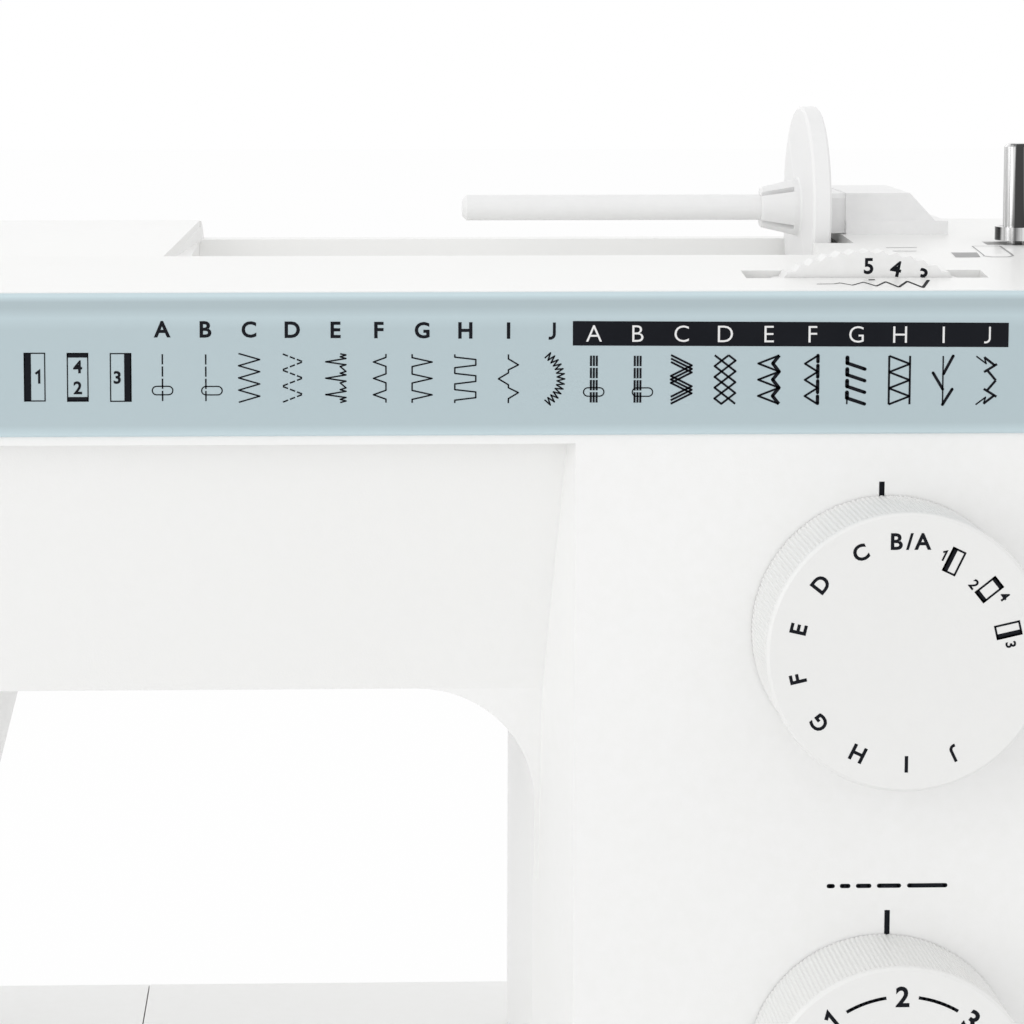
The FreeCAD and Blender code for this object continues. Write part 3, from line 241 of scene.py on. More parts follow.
def surface(name, skin, roughness, metallic=0.0, worn=None, painted_shade_span=None, **fixed):
    """A principled material fed by a skin group, whose mask moves roughness between two ends."""
    material = bpy.data.materials.new(name)
    material.use_nodes = True
    nodes, links = material.node_tree.nodes, material.node_tree.links
    shader = nodes["Principled BSDF"]
    shader.inputs["Metallic"].default_value = metallic
    for label, value in fixed.items():
        shader.inputs[label.replace("_", " ")].default_value = value
    group, values = skin
    look = group_node(material, group, **values)
    spread = nodes.new("ShaderNodeMapRange")
    spread.inputs["To Min"].default_value, spread.inputs["To Max"].default_value = roughness
    links.new(look.outputs["Mask"], spread.inputs["Value"])
    links.new(spread.outputs["Result"], shader.inputs["Roughness"])
    links.new(look.outputs["Normal"], shader.inputs["Normal"])
    colour = look.outputs["Colour"]
    # Painted shade and highlight bands across a height multiply the colour.
    if painted_shade_span:
        painted_shading = group_node(material, PAINTED_STRIP_SHADE, Low=painted_shade_span[0], High=painted_shade_span[1])
        tone = nodes.new("ShaderNodeMix")
        tone.data_type = "RGBA"
        tone.blend_type = "MULTIPLY"
        tone.inputs["Factor"].default_value = 1.0
        links.new(colour, tone.inputs["A"])
        links.new(painted_shading.outputs["Band"], tone.inputs["B"])
        colour = tone.outputs["Result"]
    if worn:
        wear = group_node(material, WEAR)
        rub = nodes.new("ShaderNodeMix")
        rub.data_type = "RGBA"
        rub.inputs["B"].default_value = worn
        links.new(wear.outputs["Wear"], rub.inputs["Factor"])
        links.new(colour, rub.inputs["A"])
        colour = rub.outputs["Result"]
    links.new(colour, shader.inputs["Base Color"])
    return material


def plastic(tint, shade, patch=30.0, grain=2500.0, height=0.00002):
    """The moulded skin and its values."""
    return MOULDED, dict(Tint=tint, Shade=shade, Patch_Scale=patch, Grain_Scale=grain, Grain_Height=height)


def ground_metal(light, dark, stretch, depth=0.00001, low=0.2, high=0.8):
    """The brushed skin and its values; a narrow span from low to high gives hard streaks."""
    return BRUSHED, dict(Light=light, Dark=dark, Stretch=stretch, Depth=depth, Low=low, High=high)


along_x = (60.0, 4000.0, 4000.0)

looks = {
    "white_cover": surface(
        "white_cover",
        plastic(grey(0.9, 0.012), grey(0.88, 0.012)),
        (0.36, 0.46),
        worn=grey(0.93),
        Coat_Weight=0.08,
    ),
    # The strip's rolled edges get painted highlight and shade bands across its height.
    "blue_strip": surface(
        "blue_strip",
        plastic((0.61, 0.74, 0.785, 1), (0.6, 0.73, 0.775, 1), 9.0, 1800.0, 0.000001),
        (0.28, 0.33),
        painted_shade_span=(strip_low.z, strip_high.z),
        Coat_Weight=0.15,
    ),
    "dial_white": surface(
        "dial_white", plastic(grey(0.84, 0.012), grey(0.81, 0.012), 40.0), (0.34, 0.46), worn=grey(0.92)
    ),
    "spool_plastic": surface(
        "spool_plastic", plastic(grey(0.87), grey(0.84), 60.0), (0.38, 0.5), worn=grey(0.92)
    ),
    "chrome": surface(
        "chrome", ground_metal(grey(0.76), grey(0.6), along_x, 0.000002), (0.12, 0.24), metallic=1.0
    ),
    "steel": surface(
        "steel", ground_metal(grey(0.66), grey(0.5), along_x), (0.22, 0.4), metallic=1.0, worn=grey(0.8)
    ),
    "casting": surface(
        "casting",
        plastic(grey(0.56), grey(0.46), 60.0, 1400.0, 0.00012),
        (0.5, 0.7),
        metallic=1.0,
        worn=grey(0.75),
    ),
    "brass": surface(
        "brass",
        ground_metal((0.78, 0.6, 0.3, 1), (0.64, 0.46, 0.2, 1), along_x),
        (0.25, 0.42),
        metallic=1.0,
        worn=(0.86, 0.7, 0.4, 1),
    ),
    "dark_plastic": surface(
        "dark_plastic", plastic(grey(0.05), grey(0.035), 40.0, 2200.0, 0.00003), (0.4, 0.6), worn=grey(0.12)
    ),
    "clear": surface(
        "clear",
        plastic((0.86, 0.9, 0.93, 1), (0.82, 0.87, 0.91, 1), 20.0, 1500.0, 0.000004),
        (0.06, 0.14),
        Transmission_Weight=0.9,
        IOR=1.49,
    ),
    "motor_paint": surface(
        "motor_paint", plastic(grey(0.09), grey(0.06), 50.0, 1800.0, 0.00002), (0.35, 0.5), worn=grey(0.4)
    ),
    "rubber": surface(
        "rubber", plastic(grey(0.045), grey(0.028), 90.0, 2600.0, 0.00006), (0.7, 0.88), worn=grey(0.09)
    ),
}
ink_black = surface(
    "ink_black",
    plastic((0.011, 0.012, 0.016, 1), (0.006, 0.007, 0.01, 1), 120.0, 4000.0, 0.000003),
    (0.5, 0.65),
    Specular_IOR_Level=0.08,
)
ink_white = surface("ink_white", plastic(grey(0.8), grey(0.76), 120.0, 4000.0, 0.000003), (0.4, 0.55))
ink_grey = surface("ink_grey", plastic(grey(0.34), grey(0.28), 120.0, 4000.0, 0.000003), (0.4, 0.55))

# Near-black and bright streaks along the spindle are painted reflections of a polished rod, not a colour of
# the metal.
spindle_painted_reflections = surface(
    "polished_spindle",
    ground_metal(grey(0.78), grey(0.06), (380.0, 380.0, 8.0), 0.000002, 0.42, 0.56),
    (0.1, 0.2),
    metallic=1.0,
)

slot_of_node = {row["node"]: row["material_slot"] for row in frame["record"]["subparts"]}
for node_name, node_object in frame["nodes"].items():
    node_object.data.materials.clear()
    node_object.data.materials.append(looks[slot_of_node[node_name]])
frame["nodes"]["winder_spindle"].data.materials[0] = spindle_painted_reflections


# Printed marks

glyph_cache = {}
BOLD_TYPE = 0.026
PLAIN_TYPE = -0.006
STEM = 0.125


def glyph(character, weight):
    """Corners and faces of one character, one unit tall and centred, from Blender's own font."""
    if (character, weight) not in glyph_cache:
        curve = bpy.data.curves.new("glyph", "FONT")
        curve.body = character
        curve.resolution_u = 4
        curve.offset = weight
        holder = bpy.data.objects.new("glyph", curve)
        bpy.context.scene.collection.objects.link(holder)
        bpy.context.view_layer.update()
        mesh = bpy.data.meshes.new_from_object(holder.evaluated_get(bpy.context.evaluated_depsgraph_get()))
        corners = [(v.co.x, v.co.y) for v in mesh.vertices]
        faces = [tuple(p.vertices) for p in mesh.polygons]
        bpy.data.objects.remove(holder)
        bpy.data.curves.remove(curve)
        bpy.data.meshes.remove(mesh)
        wide = [c[0] for c in corners]
        tall = [c[1] for c in corners]
        middle = ((min(wide) + max(wide)) / 2, (min(tall) + max(tall)) / 2)
        height = max(tall) - min(tall)
        corners = [((x - middle[0]) / height, (y - middle[1]) / height) for x, y in corners]
        glyph_cache[character, weight] = corners, faces
    return glyph_cache[character, weight]


hook_turn = [math.radians(-18 * i) for i in range(7)]
STROKES = {
    "1": [(-0.22, 0.26), (0.06, 0.47), (0.06, -0.5)],
    "J": [(0.16, 0.5)] + [(-0.1 + 0.26 * math.cos(a), -0.22 + 0.24 * math.sin(a)) for a in hook_turn],
}


class Print:
    """Flat marks gathered in millimetres, turned and moved as one is drawn, then laid on the part."""

    def __init__(self):
        self.points = []
        self.faces = []
        self.at(0, 0)

    def at(self, across, up, turn=0.0):
        """Marks that follow are drawn about this place, turned clockwise by turn degrees."""
        self.origin = (across, up)
        self.turn = math.radians(-turn)
        return self

    def on_ring(self, radius, turn):
        """Marks that follow stand on a ring about the centre and turn with it; the top is at 0 degrees."""
        angle = math.radians(turn)
        return self.at(radius * math.sin(angle), radius * math.cos(angle), turn)

    def polygon(self, corners):
        """One flat face with these corners."""
        first = len(self.points)
        across, up = self.origin
        cosine, sine = math.cos(self.turn), math.sin(self.turn)
        for x, y in corners:
            self.points.append((across + cosine * x - sine * y, up + sine * x + cosine * y))
        self.faces.append(tuple(range(first, first + len(corners))))

    def bar(self, left, low, right, high):
        self.polygon([(left, low), (right, low), (right, high), (left, high)])

    def disc(self, x, y, radius, steps=12):
        angles = [2 * math.pi * i / steps for i in range(steps)]
        self.polygon([(x + radius * math.cos(a), y + radius * math.sin(a)) for a in angles])

    def line(self, path, width, round_ends=False):
        """Straight strokes along a path, with round corners."""
        half = width / 2
        for first, last in zip(path, path[1:]):
            start, end = Vector(first), Vector(last)
            along = (end - start).normalized()
            across = Vector((-along.y, along.x)) * half
            self.polygon([start - across, end - across, end + across, start + across])
        for x, y in path if round_ends else path[1:-1]:
            self.disc(x, y, half)

    def ribbon(self, path, width):
        """One band along a path, with mitred corners, so that none of it lies over itself."""
        spots = [Vector(spot) for spot in path]
        runs = [(after - spot).normalized() for spot, after in zip(spots, spots[1:])]
        edges = []
        for spot, before, after in zip(spots, runs[:1] + runs, runs + runs[-1:]):
            along = (before + after).normalized()
            across = Vector((-along.y, along.x)) * width / 2 / along.dot(after)
            edges.append((spot - across, spot + across))
        for (a, b), (c, d) in zip(edges, edges[1:]):
            self.polygon([a, c, d, b])

    def box(self, left, low, right, high, width):
        """The outline of a box, drawn inside its edges."""
        self.bar(left, low, left + width, high)
        self.bar(right - width, low, right, high)
        self.bar(left, low, right, low + width)
        self.bar(left, high - width, right, high)

    def text(self, character, x, y, height, weight=BOLD_TYPE):
        """One character; the one and the J are drawn as strokes, with a flag and a hook."""
        if character in STROKES:
            path = [(x + a * height, y + b * height) for a, b in STROKES[character]]
            self.ribbon(path, (STEM + 2 * weight) * height)
            return
        corners, faces = glyph(character, weight)
        for face in faces:
            self.polygon([(x + corners[i][0] * height, y + corners[i][1] * height) for i in face])

    def lay(self, name, material, body, place):
        """One mesh piece whose points are given by place(across, up), in metres."""
        mesh = bpy.data.meshes.new(name)
        mesh.from_pydata([place(x * MM, y * MM) for x, y in self.points], [], self.faces)
        mesh.materials.append(material)
        piece = bpy.data.objects.new(name, mesh)
        bpy.context.scene.collection.objects.link(piece)
        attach(piece, body)
        return piece


def facing(front):
    """Marks on an upright face that looks to the front."""
    return lambda x, z: (x, front - INK_LIFT, z)


def facing_about(centre, front):
    """Marks about a centre on an upright face that looks to the front."""
    return lambda x, z: (centre.x + x, front - INK_LIFT, centre.z + z)


def cast_on(node, direction, start):
    """Marks thrown along a direction on the surface of a node, from the points start(across, up)."""
    mesh = frame["nodes"][node].data
    tree = BVHTree.FromPolygons([v.co for v in mesh.vertices], [tuple(p.vertices) for p in mesh.polygons])
    direction = Vector(direction).normalized()

    def place(x, y):
        hit, normal, _, _ = tree.ray_cast(Vector(start(x, y)), direction)
        if normal.dot(direction) > 0:
            normal = -normal
        return hit + normal * INK_LIFT

    return place


# Stitch chart on the strip

letters = "ABCDEFGHIJ"
first_column = -56.7
hole_pitch = 8.55
plain_first = -31.3
plain_pitch = 8.63
stretch_first = 54.85
stretch_pitch = 8.78
letter_height = 3.3
letter_level = 258.4
icon_level = 248.7
row_fall = 0.007
tall = 4.9
wide = 2.1
oval_level = -2.6
spike_places = (3.3, 0, -3.3)
thin = 0.3
firm = 0.42
bold = 0.7
hole_columns = [first_column + hole_pitch * i for i in range(3)]
plain_columns = [plain_first + plain_pitch * i for i in range(10)]
stretch_columns = [stretch_first + stretch_pitch * i for i in range(10)]


def level_at(level, across):
    """The print runs a little downhill to the right."""
    return level - row_fall * (across - first_column)


def zigzag(left, right, count, top=tall, bottom=-tall, start_left=True):
    """Corner points of a zigzag that runs down in count strokes."""
    step = (top - bottom) / count
    sides = (left, right) if start_left else (right, left)
    return [(sides[i % 2], top - step * i) for i in range(count + 1)]


def spikes(run, tip, places, reach):
    """A straight run down with a spike to tip at each place; reach is half the foot of a spike."""
    path = [(run, tall)]
    for z in places:
        path += [(run, z + reach), (tip, z), (run, z - reach)]
    return path + [(run, -tall)]


def buttonhole(sheet, half_wide, half_tall, dark, band, edge):
    """A tall box with a dark left, right, or top and bottom band."""
    sheet.box(-half_wide, -half_tall, half_wide, half_tall, edge)
    if dark == "left":
        sheet.bar(-half_wide, -half_tall, band - half_wide, half_tall)
    if dark == "right":
        sheet.bar(half_wide - band, -half_tall, half_wide, half_tall)
    if dark == "ends":
        sheet.bar(-half_wide, half_tall - band, half_wide, half_tall)
        sheet.bar(-half_wide, -half_tall, half_wide, band - half_tall)


def hole_ring(sheet, shift):
    """The small lying oval on the straight stitches."""
    half, rise = 1.2, 0.85
    turns = [math.pi * (0.5 + i / 8) for i in range(9)]
    left = [(shift - half + rise * math.cos(a), oval_level + rise * math.sin(a)) for a in turns]
    right = [(2 * shift - x, 2 * oval_level - z) for x, z in left]
    sheet.line(left + right + left[:1], thin * 0.8)


def overcast():
    """Long spikes to the left with a small zigzag between them."""
    path = [(0.9, tall)]
    for z in spike_places:
        path += [(2.05, z + 1.35), (0.9, z + 1.0), (2.05, z + 0.65)]
        path += [(-2.0, z), (2.05, z - 0.6), (0.9, z - 0.95)]
    return path + [(2.05, -tall + 0.3), (0.9, -tall)]


def box_wave():
    """Slanting steps from side to side."""
    step = 2 * tall / 6
    path = [(-wide, tall)]
    for i in range(6):
        side, other = (-wide, wide) if i % 2 == 0 else (wide, -wide)
        path += [(side, tall - step * (i + 0.35)), (other, tall - step * (i + 0.65))]
    return path + [(-wide, -tall)]


def step_wave():
    """Short upright runs with a bulge right, left and right again."""
    upper = [(0, tall), (0, 4.0), (2.0, 2.8), (0, 1.8), (0, 1.2)]
    lower = [(x, -z) for x, z in reversed(upper)]
    return upper + [(-2.0, 0)] + lower


def satin_arc():
    """A fine zigzag bent to an arc."""
    path = []
    for i in range(27):
        turn = math.radians(-62 + 124 * i / 26)
        reach = 5.5 + (0.75 if i % 2 else -0.75)
        path.append((reach * math.cos(turn) - 3.6, -reach * math.sin(turn) * tall / 4.9))
    return path


chart = Print()
for column, dark, band in zip(hole_columns, ("left", "ends", "right"), (1.45, 0.95, 1.45)):
    chart.at(column, level_at(icon_level, column))
    buttonhole(chart, wide + 0.05, tall, dark, band, thin * 0.8)
    if dark == "left":
        chart.text("1", 0.75, 0, 2.6)
    if dark == "ends":
        chart.text("4", 0, 2.1, 2.6)
        chart.text("2", 0, -2.1, 2.6)
    if dark == "right":
        chart.text("3", -0.7, 0, 2.6)

plain_paths = {
    "C": zigzag(-wide, wide, 8),
    "E": overcast(),
    "F": spikes(1.4, -1.1, spike_places, 0.9),
    "G": spikes(-2.0, 2.0, spike_places, 0.9),
    "H": box_wave(),
    "I": step_wave(),
    "J": satin_arc(),
}
for letter, column in zip(letters, plain_columns):
    chart.at(column, level_at(letter_level, column)).text(letter, 0, 0, letter_height)
    chart.at(column, level_at(icon_level, column))
    if letter in plain_paths:
        chart.line(plain_paths[letter], thin)
    if letter == "A":
        hole_ring(chart, 0)
    if letter == "B":
        hole_ring(chart, 1.2)


def trellis():
    """Slanting runs that bounce between the edges, in one open path and one closed."""
    gap = 2 * tall / 4.5
    right = {i: (wide, tall - gap * i) for i in (0.5, 1.5, 2.5, 3.5, 4.5)}
    left = {i: (-wide, tall - gap * i) for i in range(5)}
    peak, foot = (wide / 3, tall), (-wide / 3, -tall)
    chart.line([left[0], right[1.5], left[3], right[4.5]], firm)
    chart.line([peak, right[0.5], left[2], right[3.5], foot, left[4], right[2.5], left[1], peak], firm)


def comb():
    """Four short thick uprights, each with a slanting tooth at its foot, and a thin tail."""
    upright_x = -1.75
    for i in range(4):
        root = 3.4 - 2.35 * i
        chart.line([(upright_x, root + 1.15), (upright_x, root)], bold * 1.15, True)
        chart.line([(upright_x, root), (1.8, root - 1.2)], bold, True)
    chart.line([(upright_x, root), (upright_x, -tall)], thin)


def ladder():
    """Two uprights with a zigzag between them."""
    chart.line([(-wide, tall), (-wide, -tall)], firm)
    chart.line([(wide, tall), (wide, -tall)], firm)
    chart.line(zigzag(-wide, wide, 6), firm)


def branch():
    """A thin upright with three thick twigs."""
    chart.line([(0, tall), (0, -tall)], thin)
    for tip, foot in (((2.0, tall), (0.1, 1.3)), ((-2.0, 1.5), (0, -1.8)), ((1.9, -1.8), (0, -tall))):
        chart.line([tip, foot], bold * 0.85, True)


def bolt():
    """A jagged bulge of short thick strokes that overshoot each other, with a thin hook at each end."""
    hook = [(-2.1, tall), (-0.1, 3.4), (-0.5, 4.7)]
    strokes = [[(-0.5, 4.7), (1.7, 3.0)], [(2.1, 3.3), (-0.5, 1.7)], [(0.2, 2.0), (1.9, 0)]]
    for mirror in (1, -1):
        chart.line([(x, z * mirror) for x, z in hook], thin)
        for stroke in strokes:
            chart.line([(x, z * mirror) for x, z in stroke], bold * 0.7)


def stretch_icon(letter):
    """Thin and thick strokes of one stretch stitch."""
    if letter == "A":
        hole_ring(chart, 0)
    if letter == "B":
        hole_ring(chart, 1.0)
    if letter == "C":
        for shift in (-0.7, 0, 0.7):
            chart.line([(x, z * 0.86 + shift) for x, z in zigzag(-wide, wide, 4)], firm)
    if letter == "D":
        trellis()
    if letter == "E":
        chart.line(zigzag(-wide, wide, 6, start_left=False), firm)
        chart.line(zigzag(0.8, wide, 6, start_left=False), bold)
    if letter == "F":
        chart.line(zigzag(-1.5, 1.1, 6, start_left=False), firm)
        for top, bottom in ((4.9, 3.65), (2.9, 0.55), (-0.2, -2.55), (-3.3, -4.75)):
            chart.line([(1.1, top), (1.1, bottom)], bold, True)
    if letter == "G":
        comb()
    if letter == "H":
        ladder()
    if letter == "I":
        branch()
    if letter == "J":
        bolt()


for letter, column in zip(letters, stretch_columns):
    chart.at(column, level_at(icon_level, column))
    stretch_icon(letter)
bar_left, bar_right, bar_level, bar_half = 50.6, 138.2, 257.9, 2.46
bar_edge = [(bar_left, -bar_half), (bar_right, -bar_half), (bar_right, bar_half), (bar_left, bar_half)]
chart.at(0, 0).polygon([(x, level_at(bar_level, x) + z) for x, z in bar_edge])
chart.lay("stitch_chart", ink_black, "machine", facing(strip_low.y))

bar_letters = Print()
for letter, column in zip(letters, stretch_columns):
    bar_letters.at(column, level_at(bar_level, column)).text(letter, 0, 0, letter_height, PLAIN_TYPE)
bar_letters.lay("stretch_letters", ink_white, "machine", facing(strip_low.y - INK_LIFT))


# Dashed stitches that follow a path

def dash_group():
    """Geometry nodes: lays short bars along every path at an even pitch."""
    group = bpy.data.node_groups.new("dashes_on_path", "GeometryNodeTree")
    group.interface.new_socket("Geometry", in_out="INPUT", socket_type="NodeSocketGeometry")
    for label in ("Pitch", "Dash Length", "Dash Width"):
        group.interface.new_socket(label, in_out="INPUT", socket_type="NodeSocketFloat")
    group.interface.new_socket("Ink", in_out="INPUT", socket_type="NodeSocketMaterial")
    group.interface.new_socket("Geometry", in_out="OUTPUT", socket_type="NodeSocketGeometry")
    start = group.nodes.new("NodeGroupInput")
    end = group.nodes.new("NodeGroupOutput")
    points = group.nodes.new("GeometryNodeCurveToPoints")
    points.mode = "LENGTH"
    dash = group.nodes.new("GeometryNodeMeshGrid")
    dash.inputs["Vertices X"].default_value = 2
    dash.inputs["Vertices Y"].default_value = 2
    place = group.nodes.new("GeometryNodeInstanceOnPoints")
    turn = group.nodes.new("FunctionNodeAlignEulerToVector")
    turn.axis = "X"
    turn.pivot_axis = "Z"
    whole = group.nodes.new("GeometryNodeRealizeInstances")
    paint = group.nodes.new("GeometryNodeSetMaterial")
    group.links.new(start.outputs["Geometry"], points.inputs["Curve"])
    group.links.new(start.outputs["Pitch"], points.inputs["Length"])
    group.links.new(start.outputs["Dash Length"], dash.inputs["Size X"])
    group.links.new(start.outputs["Dash Width"], dash.inputs["Size Y"])
    group.links.new(points.outputs["Points"], place.inputs["Points"])
    group.links.new(dash.outputs["Mesh"], place.inputs["Instance"])
    group.links.new(points.outputs["Tangent"], turn.inputs["Vector"])
    group.links.new(turn.outputs["Rotation"], place.inputs["Rotation"])
    group.links.new(place.outputs["Instances"], whole.inputs["Geometry"])
    group.links.new(whole.outputs["Geometry"], paint.inputs["Geometry"])
    group.links.new(start.outputs["Ink"], paint.inputs["Material"])
    group.links.new(paint.outputs["Geometry"], end.inputs["Geometry"])
    return group


def set_inputs(modifier, **values):
    """Sets a geometry nodes modifier's inputs by their names."""
    for item in modifier.node_group.interface.items_tree:
        label = item.name.replace(" ", "_")
        if item.in_out == "INPUT" and label in values:
            modifier[item.identifier] = values[label]


def settled(name, source):
    """A plain mesh object with what the source's modifiers give; the source goes."""
    bpy.context.view_layer.update()
    mesh = bpy.data.meshes.new_from_object(source.evaluated_get(bpy.context.evaluated_depsgraph_get()))
    bpy.data.objects.remove(source)
    piece = bpy.data.objects.new(name, mesh)
    bpy.context.scene.collection.objects.link(piece)
    return piece


DASHES = dash_group()
# Stands marks that were drawn flat upright on the front of the strip
front_up = Matrix(((1, 0, 0, 0), (0, 0, -1, strip_low.y - INK_LIFT), (0, 1, 0, 0), (0, 0, 0, 1)))


def stitch_dashes(name, columns, path, pitch, length, width):
    """Dashes along every straight run of a path, at each of the columns, set in from the corners."""
    paths = bpy.data.curves.new(name, "CURVE")
    paths.dimensions = "3D"
    for column in columns:
        middle = Vector((column, level_at(icon_level, column)))
        for first, last in zip(path, path[1:]):
            start, stop = Vector(first), Vector(last)
            inward = (stop - start).normalized() * pitch / 2
            spline = paths.splines.new("POLY")
            spline.points.add(1)
            for point, spot in zip(spline.points, (start + inward, stop - inward)):
                point.co = ((middle.x + spot.x) * MM, (middle.y + spot.y) * MM, 0, 1)
    holder = bpy.data.objects.new(name, paths)
    bpy.context.scene.collection.objects.link(holder)
    modifier = holder.modifiers.new("dashes", "NODES")
    modifier.node_group = DASHES
    just_under = 0.98
    spacing = pitch * just_under * MM
    set_inputs(modifier, Pitch=spacing, Dash_Length=length * MM, Dash_Width=width * MM, Ink=ink_black)
    dashes = settled(name, holder)
    dashes.data.transform(front_up)
    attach(dashes, "machine")


upright = [(0, tall), (0, -tall)]
run_pitch = 2 * tall / 4
triple = [column + shift for column in stretch_columns[:2] for shift in (-0.58, 0, 0.58)]
stitch_dashes("straight_dashes", plain_columns[:2], upright, run_pitch, run_pitch - 0.4, thin)
stitch_dashes("triple_dashes", triple, upright, run_pitch, run_pitch - 0.35, firm)
stitch_dashes("zigzag_dashes", plain_columns[3:4], zigzag(-wide, wide, 6), 1.5, 1.1, thin)


# Marks on the dials and panel

dial_pitch = 360 / 14
letter_ring = 22.1
dial_letter = 3.3
dial_marks = Print()
for character, shift in (("B", -2.55), ("/", 0), ("A", 2.55)):
    dial_marks.on_ring(letter_ring, 0).text(character, shift, 0, dial_letter)
for step, letter in enumerate("CDEFGHIJ", start=1):
    dial_marks.on_ring(letter_ring, -dial_pitch * step).text(letter, 0, 0, dial_letter)
hole_ring_radius = letter_ring - 2.0
hole_numbers = {
    "left": [("1", -2.3, 0.2)],
    "ends": [("2", -2.7, -1.7), ("4", 2.9, 1.5)],
    "right": [("3", 2.9, -0.1)],
}
for step, dark in enumerate(hole_numbers, start=1):
    dial_marks.on_ring(hole_ring_radius, dial_pitch * step)
    buttonhole(dial_marks, 1.45, 2.6, dark, 1.0 if dark == "ends" else 1.1, 0.4)
    for number, x, z in hole_numbers[dark]:
        dial_marks.text(number, x, z, 2.1)
pattern_face = facing_about(pattern_centre, pattern_low.y)
dial_marks.lay("pattern_letters", ink_black, "pattern_set", pattern_face)

length_marks = Print()
number_ring = 21.8
number_step = 39
arc_gap = 8.5
for number in range(5):
    turn = number_step * (number - 2)
    length_marks.on_ring(number_ring, turn).text(str(number), 0, 0, 4.2)
    if number < 4:
        arc = [math.radians(turn + arc_gap + (number_step - 2 * arc_gap) * i / 8) for i in range(9)]
        path = [(number_ring * math.sin(a), number_ring * math.cos(a)) for a in arc]
        length_marks.at(0, 0).line(path, 0.65)
length_face = facing_about(length_centre, length_low.y)
length_marks.lay("length_numbers", ink_black, "length_set", length_face)

panel_marks = Print()
dial_x = pattern_centre.x / MM
index_width = 1.1
dash_level = 143.4
dash_width = 0.9
for left, low, high in ((dial_x - 2.0, 223.4, 226.8), (dial_x + 0.4, 133.1, 138.3)):
    panel_marks.bar(left, low, left + index_width, high)
dash_runs = ((103.6, 104.4), (106.3, 107.6), (109.6, 111.9), (113.9, 118.0), (120.1, 127.5))
for left, right in dash_runs:
    panel_marks.line([(left, dash_level), (right, dash_level)], dash_width, True)
panel_marks.lay("panel_marks", ink_black, "machine", facing(cover_front))

wheel_marks = Print()
wheel_ring = 30.0
wheel_step = 10.8
for number in range(6):
    wheel_marks.on_ring(wheel_ring, wheel_step * (5 - number)).text(str(number), 0, 0, 3.3)
wheel_face = facing_about(wheel_centre, wheel_low.y)
wheel_marks.lay("width_numbers", ink_black, "width_set", wheel_face)


# Marks on the top cover, thrown straight down on its slope

deck = cast_on("top_cover", (0, 0, -1), lambda x, y: (x, y, 0.4))
width_sign = Print()
# Corners of the wavy line, whose waves and strokes grow to the right
wave = [(100.7, -57.6), (104.2, -57.4), (105.5, -56.4), (107.6, -58.9), (110.4, -55.6), (112.3, -59.9)]
wave += [(115.0, -55.3), (116.6, -61.1), (119.5, -54.8), (121.4, -61.6), (124.0, -53.7)]
for number, stroke in enumerate(zip(wave, wave[1:])):
    width_sign.line(stroke, 0.35 + 0.04 * number, True)
width_sign.bar(111.9, -53.6, 113.2, -52.6)
width_sign.lay("width_sign", ink_black, "machine", deck)

crease = -24.0
winder_sign = Print()
# Two short lines, a filled box and an open cup; what crosses the crease is drawn in two parts
for left, right, level in ((122.9, 129.6, -11.8), (122.4, 128.4, -18.1)):
    winder_sign.line([(left, level), (right, level)], 0.5)
winder_sign.polygon([(134.9, -27.5), (140.2, -27.5), (140.5, crease), (135.0, crease)])
winder_sign.polygon([(135.0, crease), (140.5, crease), (140.8, -20.9), (135.2, -20.9)])
winder_sign.line([(142.2, -9.4), (148.3, -9.4)], 0.3)
winder_sign.line([(142.2, -9.4), (141.4, crease), (141.3, -26.0)], 0.3)
winder_sign.line([(148.3, -9.4), (147.6, crease), (147.5, -26.0)], 0.5)
winder_sign.line([(141.3, -26.0), (142.6, -27.2), (146.2, -27.2), (147.5, -26.0)], 0.4)
winder_sign.lay("winder_sign", ink_grey, "machine", deck)


# Marks on the works: needle plate and tension dial; painted shade in the screw heads' cross recesses

plate_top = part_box("needle_plate")[1].z
needle_low, needle_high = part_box("needle")
needle_middle = (needle_low + needle_high) / 2
plate_lines = Print()
guide_half, guide_front, guide_back, digit_level = 0.15, -6, 12, 14.5
for reach in (15, 20, 25, 30):
    plate_lines.bar(reach - guide_half, guide_front, reach + guide_half, guide_back)
    for digit, shift in zip(str(reach), (-0.9, 0.9)):
        plate_lines.text(digit, reach + shift, digit_level, 2.2)


def on_plate(x, y):
    """Marks on the needle plate, measured from the needle."""
    return needle_middle.x + x, needle_middle.y + y, plate_top + INK_LIFT


plate_lines.lay("plate_lines", ink_black, "machine", on_plate)

tension_low, tension_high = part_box("tension_dial")
tension_middle = (tension_low + tension_high) / 2
tension_radius = (tension_high.z - tension_low.z) / 2 + INK_LIFT
tension_marks = Print()
tension_step = 8.2
for number in range(10):
    tension_marks.at(0, (number - 4) * tension_step).text(str(number), 0, 0, 3.4)


def round_tension(x, up):
    """Marks on the rim of the tension dial; up runs round the rim."""
    turn = up / tension_radius
    y = tension_middle.y - tension_radius * math.cos(turn)
    return tension_middle.x + x, y, tension_middle.z + tension_radius * math.sin(turn)


tension_marks.lay("tension_numbers", ink_black, "tension_set", round_tension)

screw_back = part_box("cover_screws")[1].y + INK_LIFT
# Black crosses on the screw heads are painted shade standing in for their cross recesses.
screw_slots = Print()
slot_reach, slot_half = 1.6, 0.3
for x, z in ((148, 97), (65.1, 97), (148, 233), (-118, 251)):
    screw_slots.at(x, z)
    screw_slots.bar(-slot_reach, -slot_half, slot_reach, slot_half)
    screw_slots.bar(-slot_half, -slot_reach, slot_half, slot_reach)
screw_slots.lay("screw_slots", ink_black, "machine", lambda x, z: (x, screw_back, z))


# Shapes that show more than the plain solids

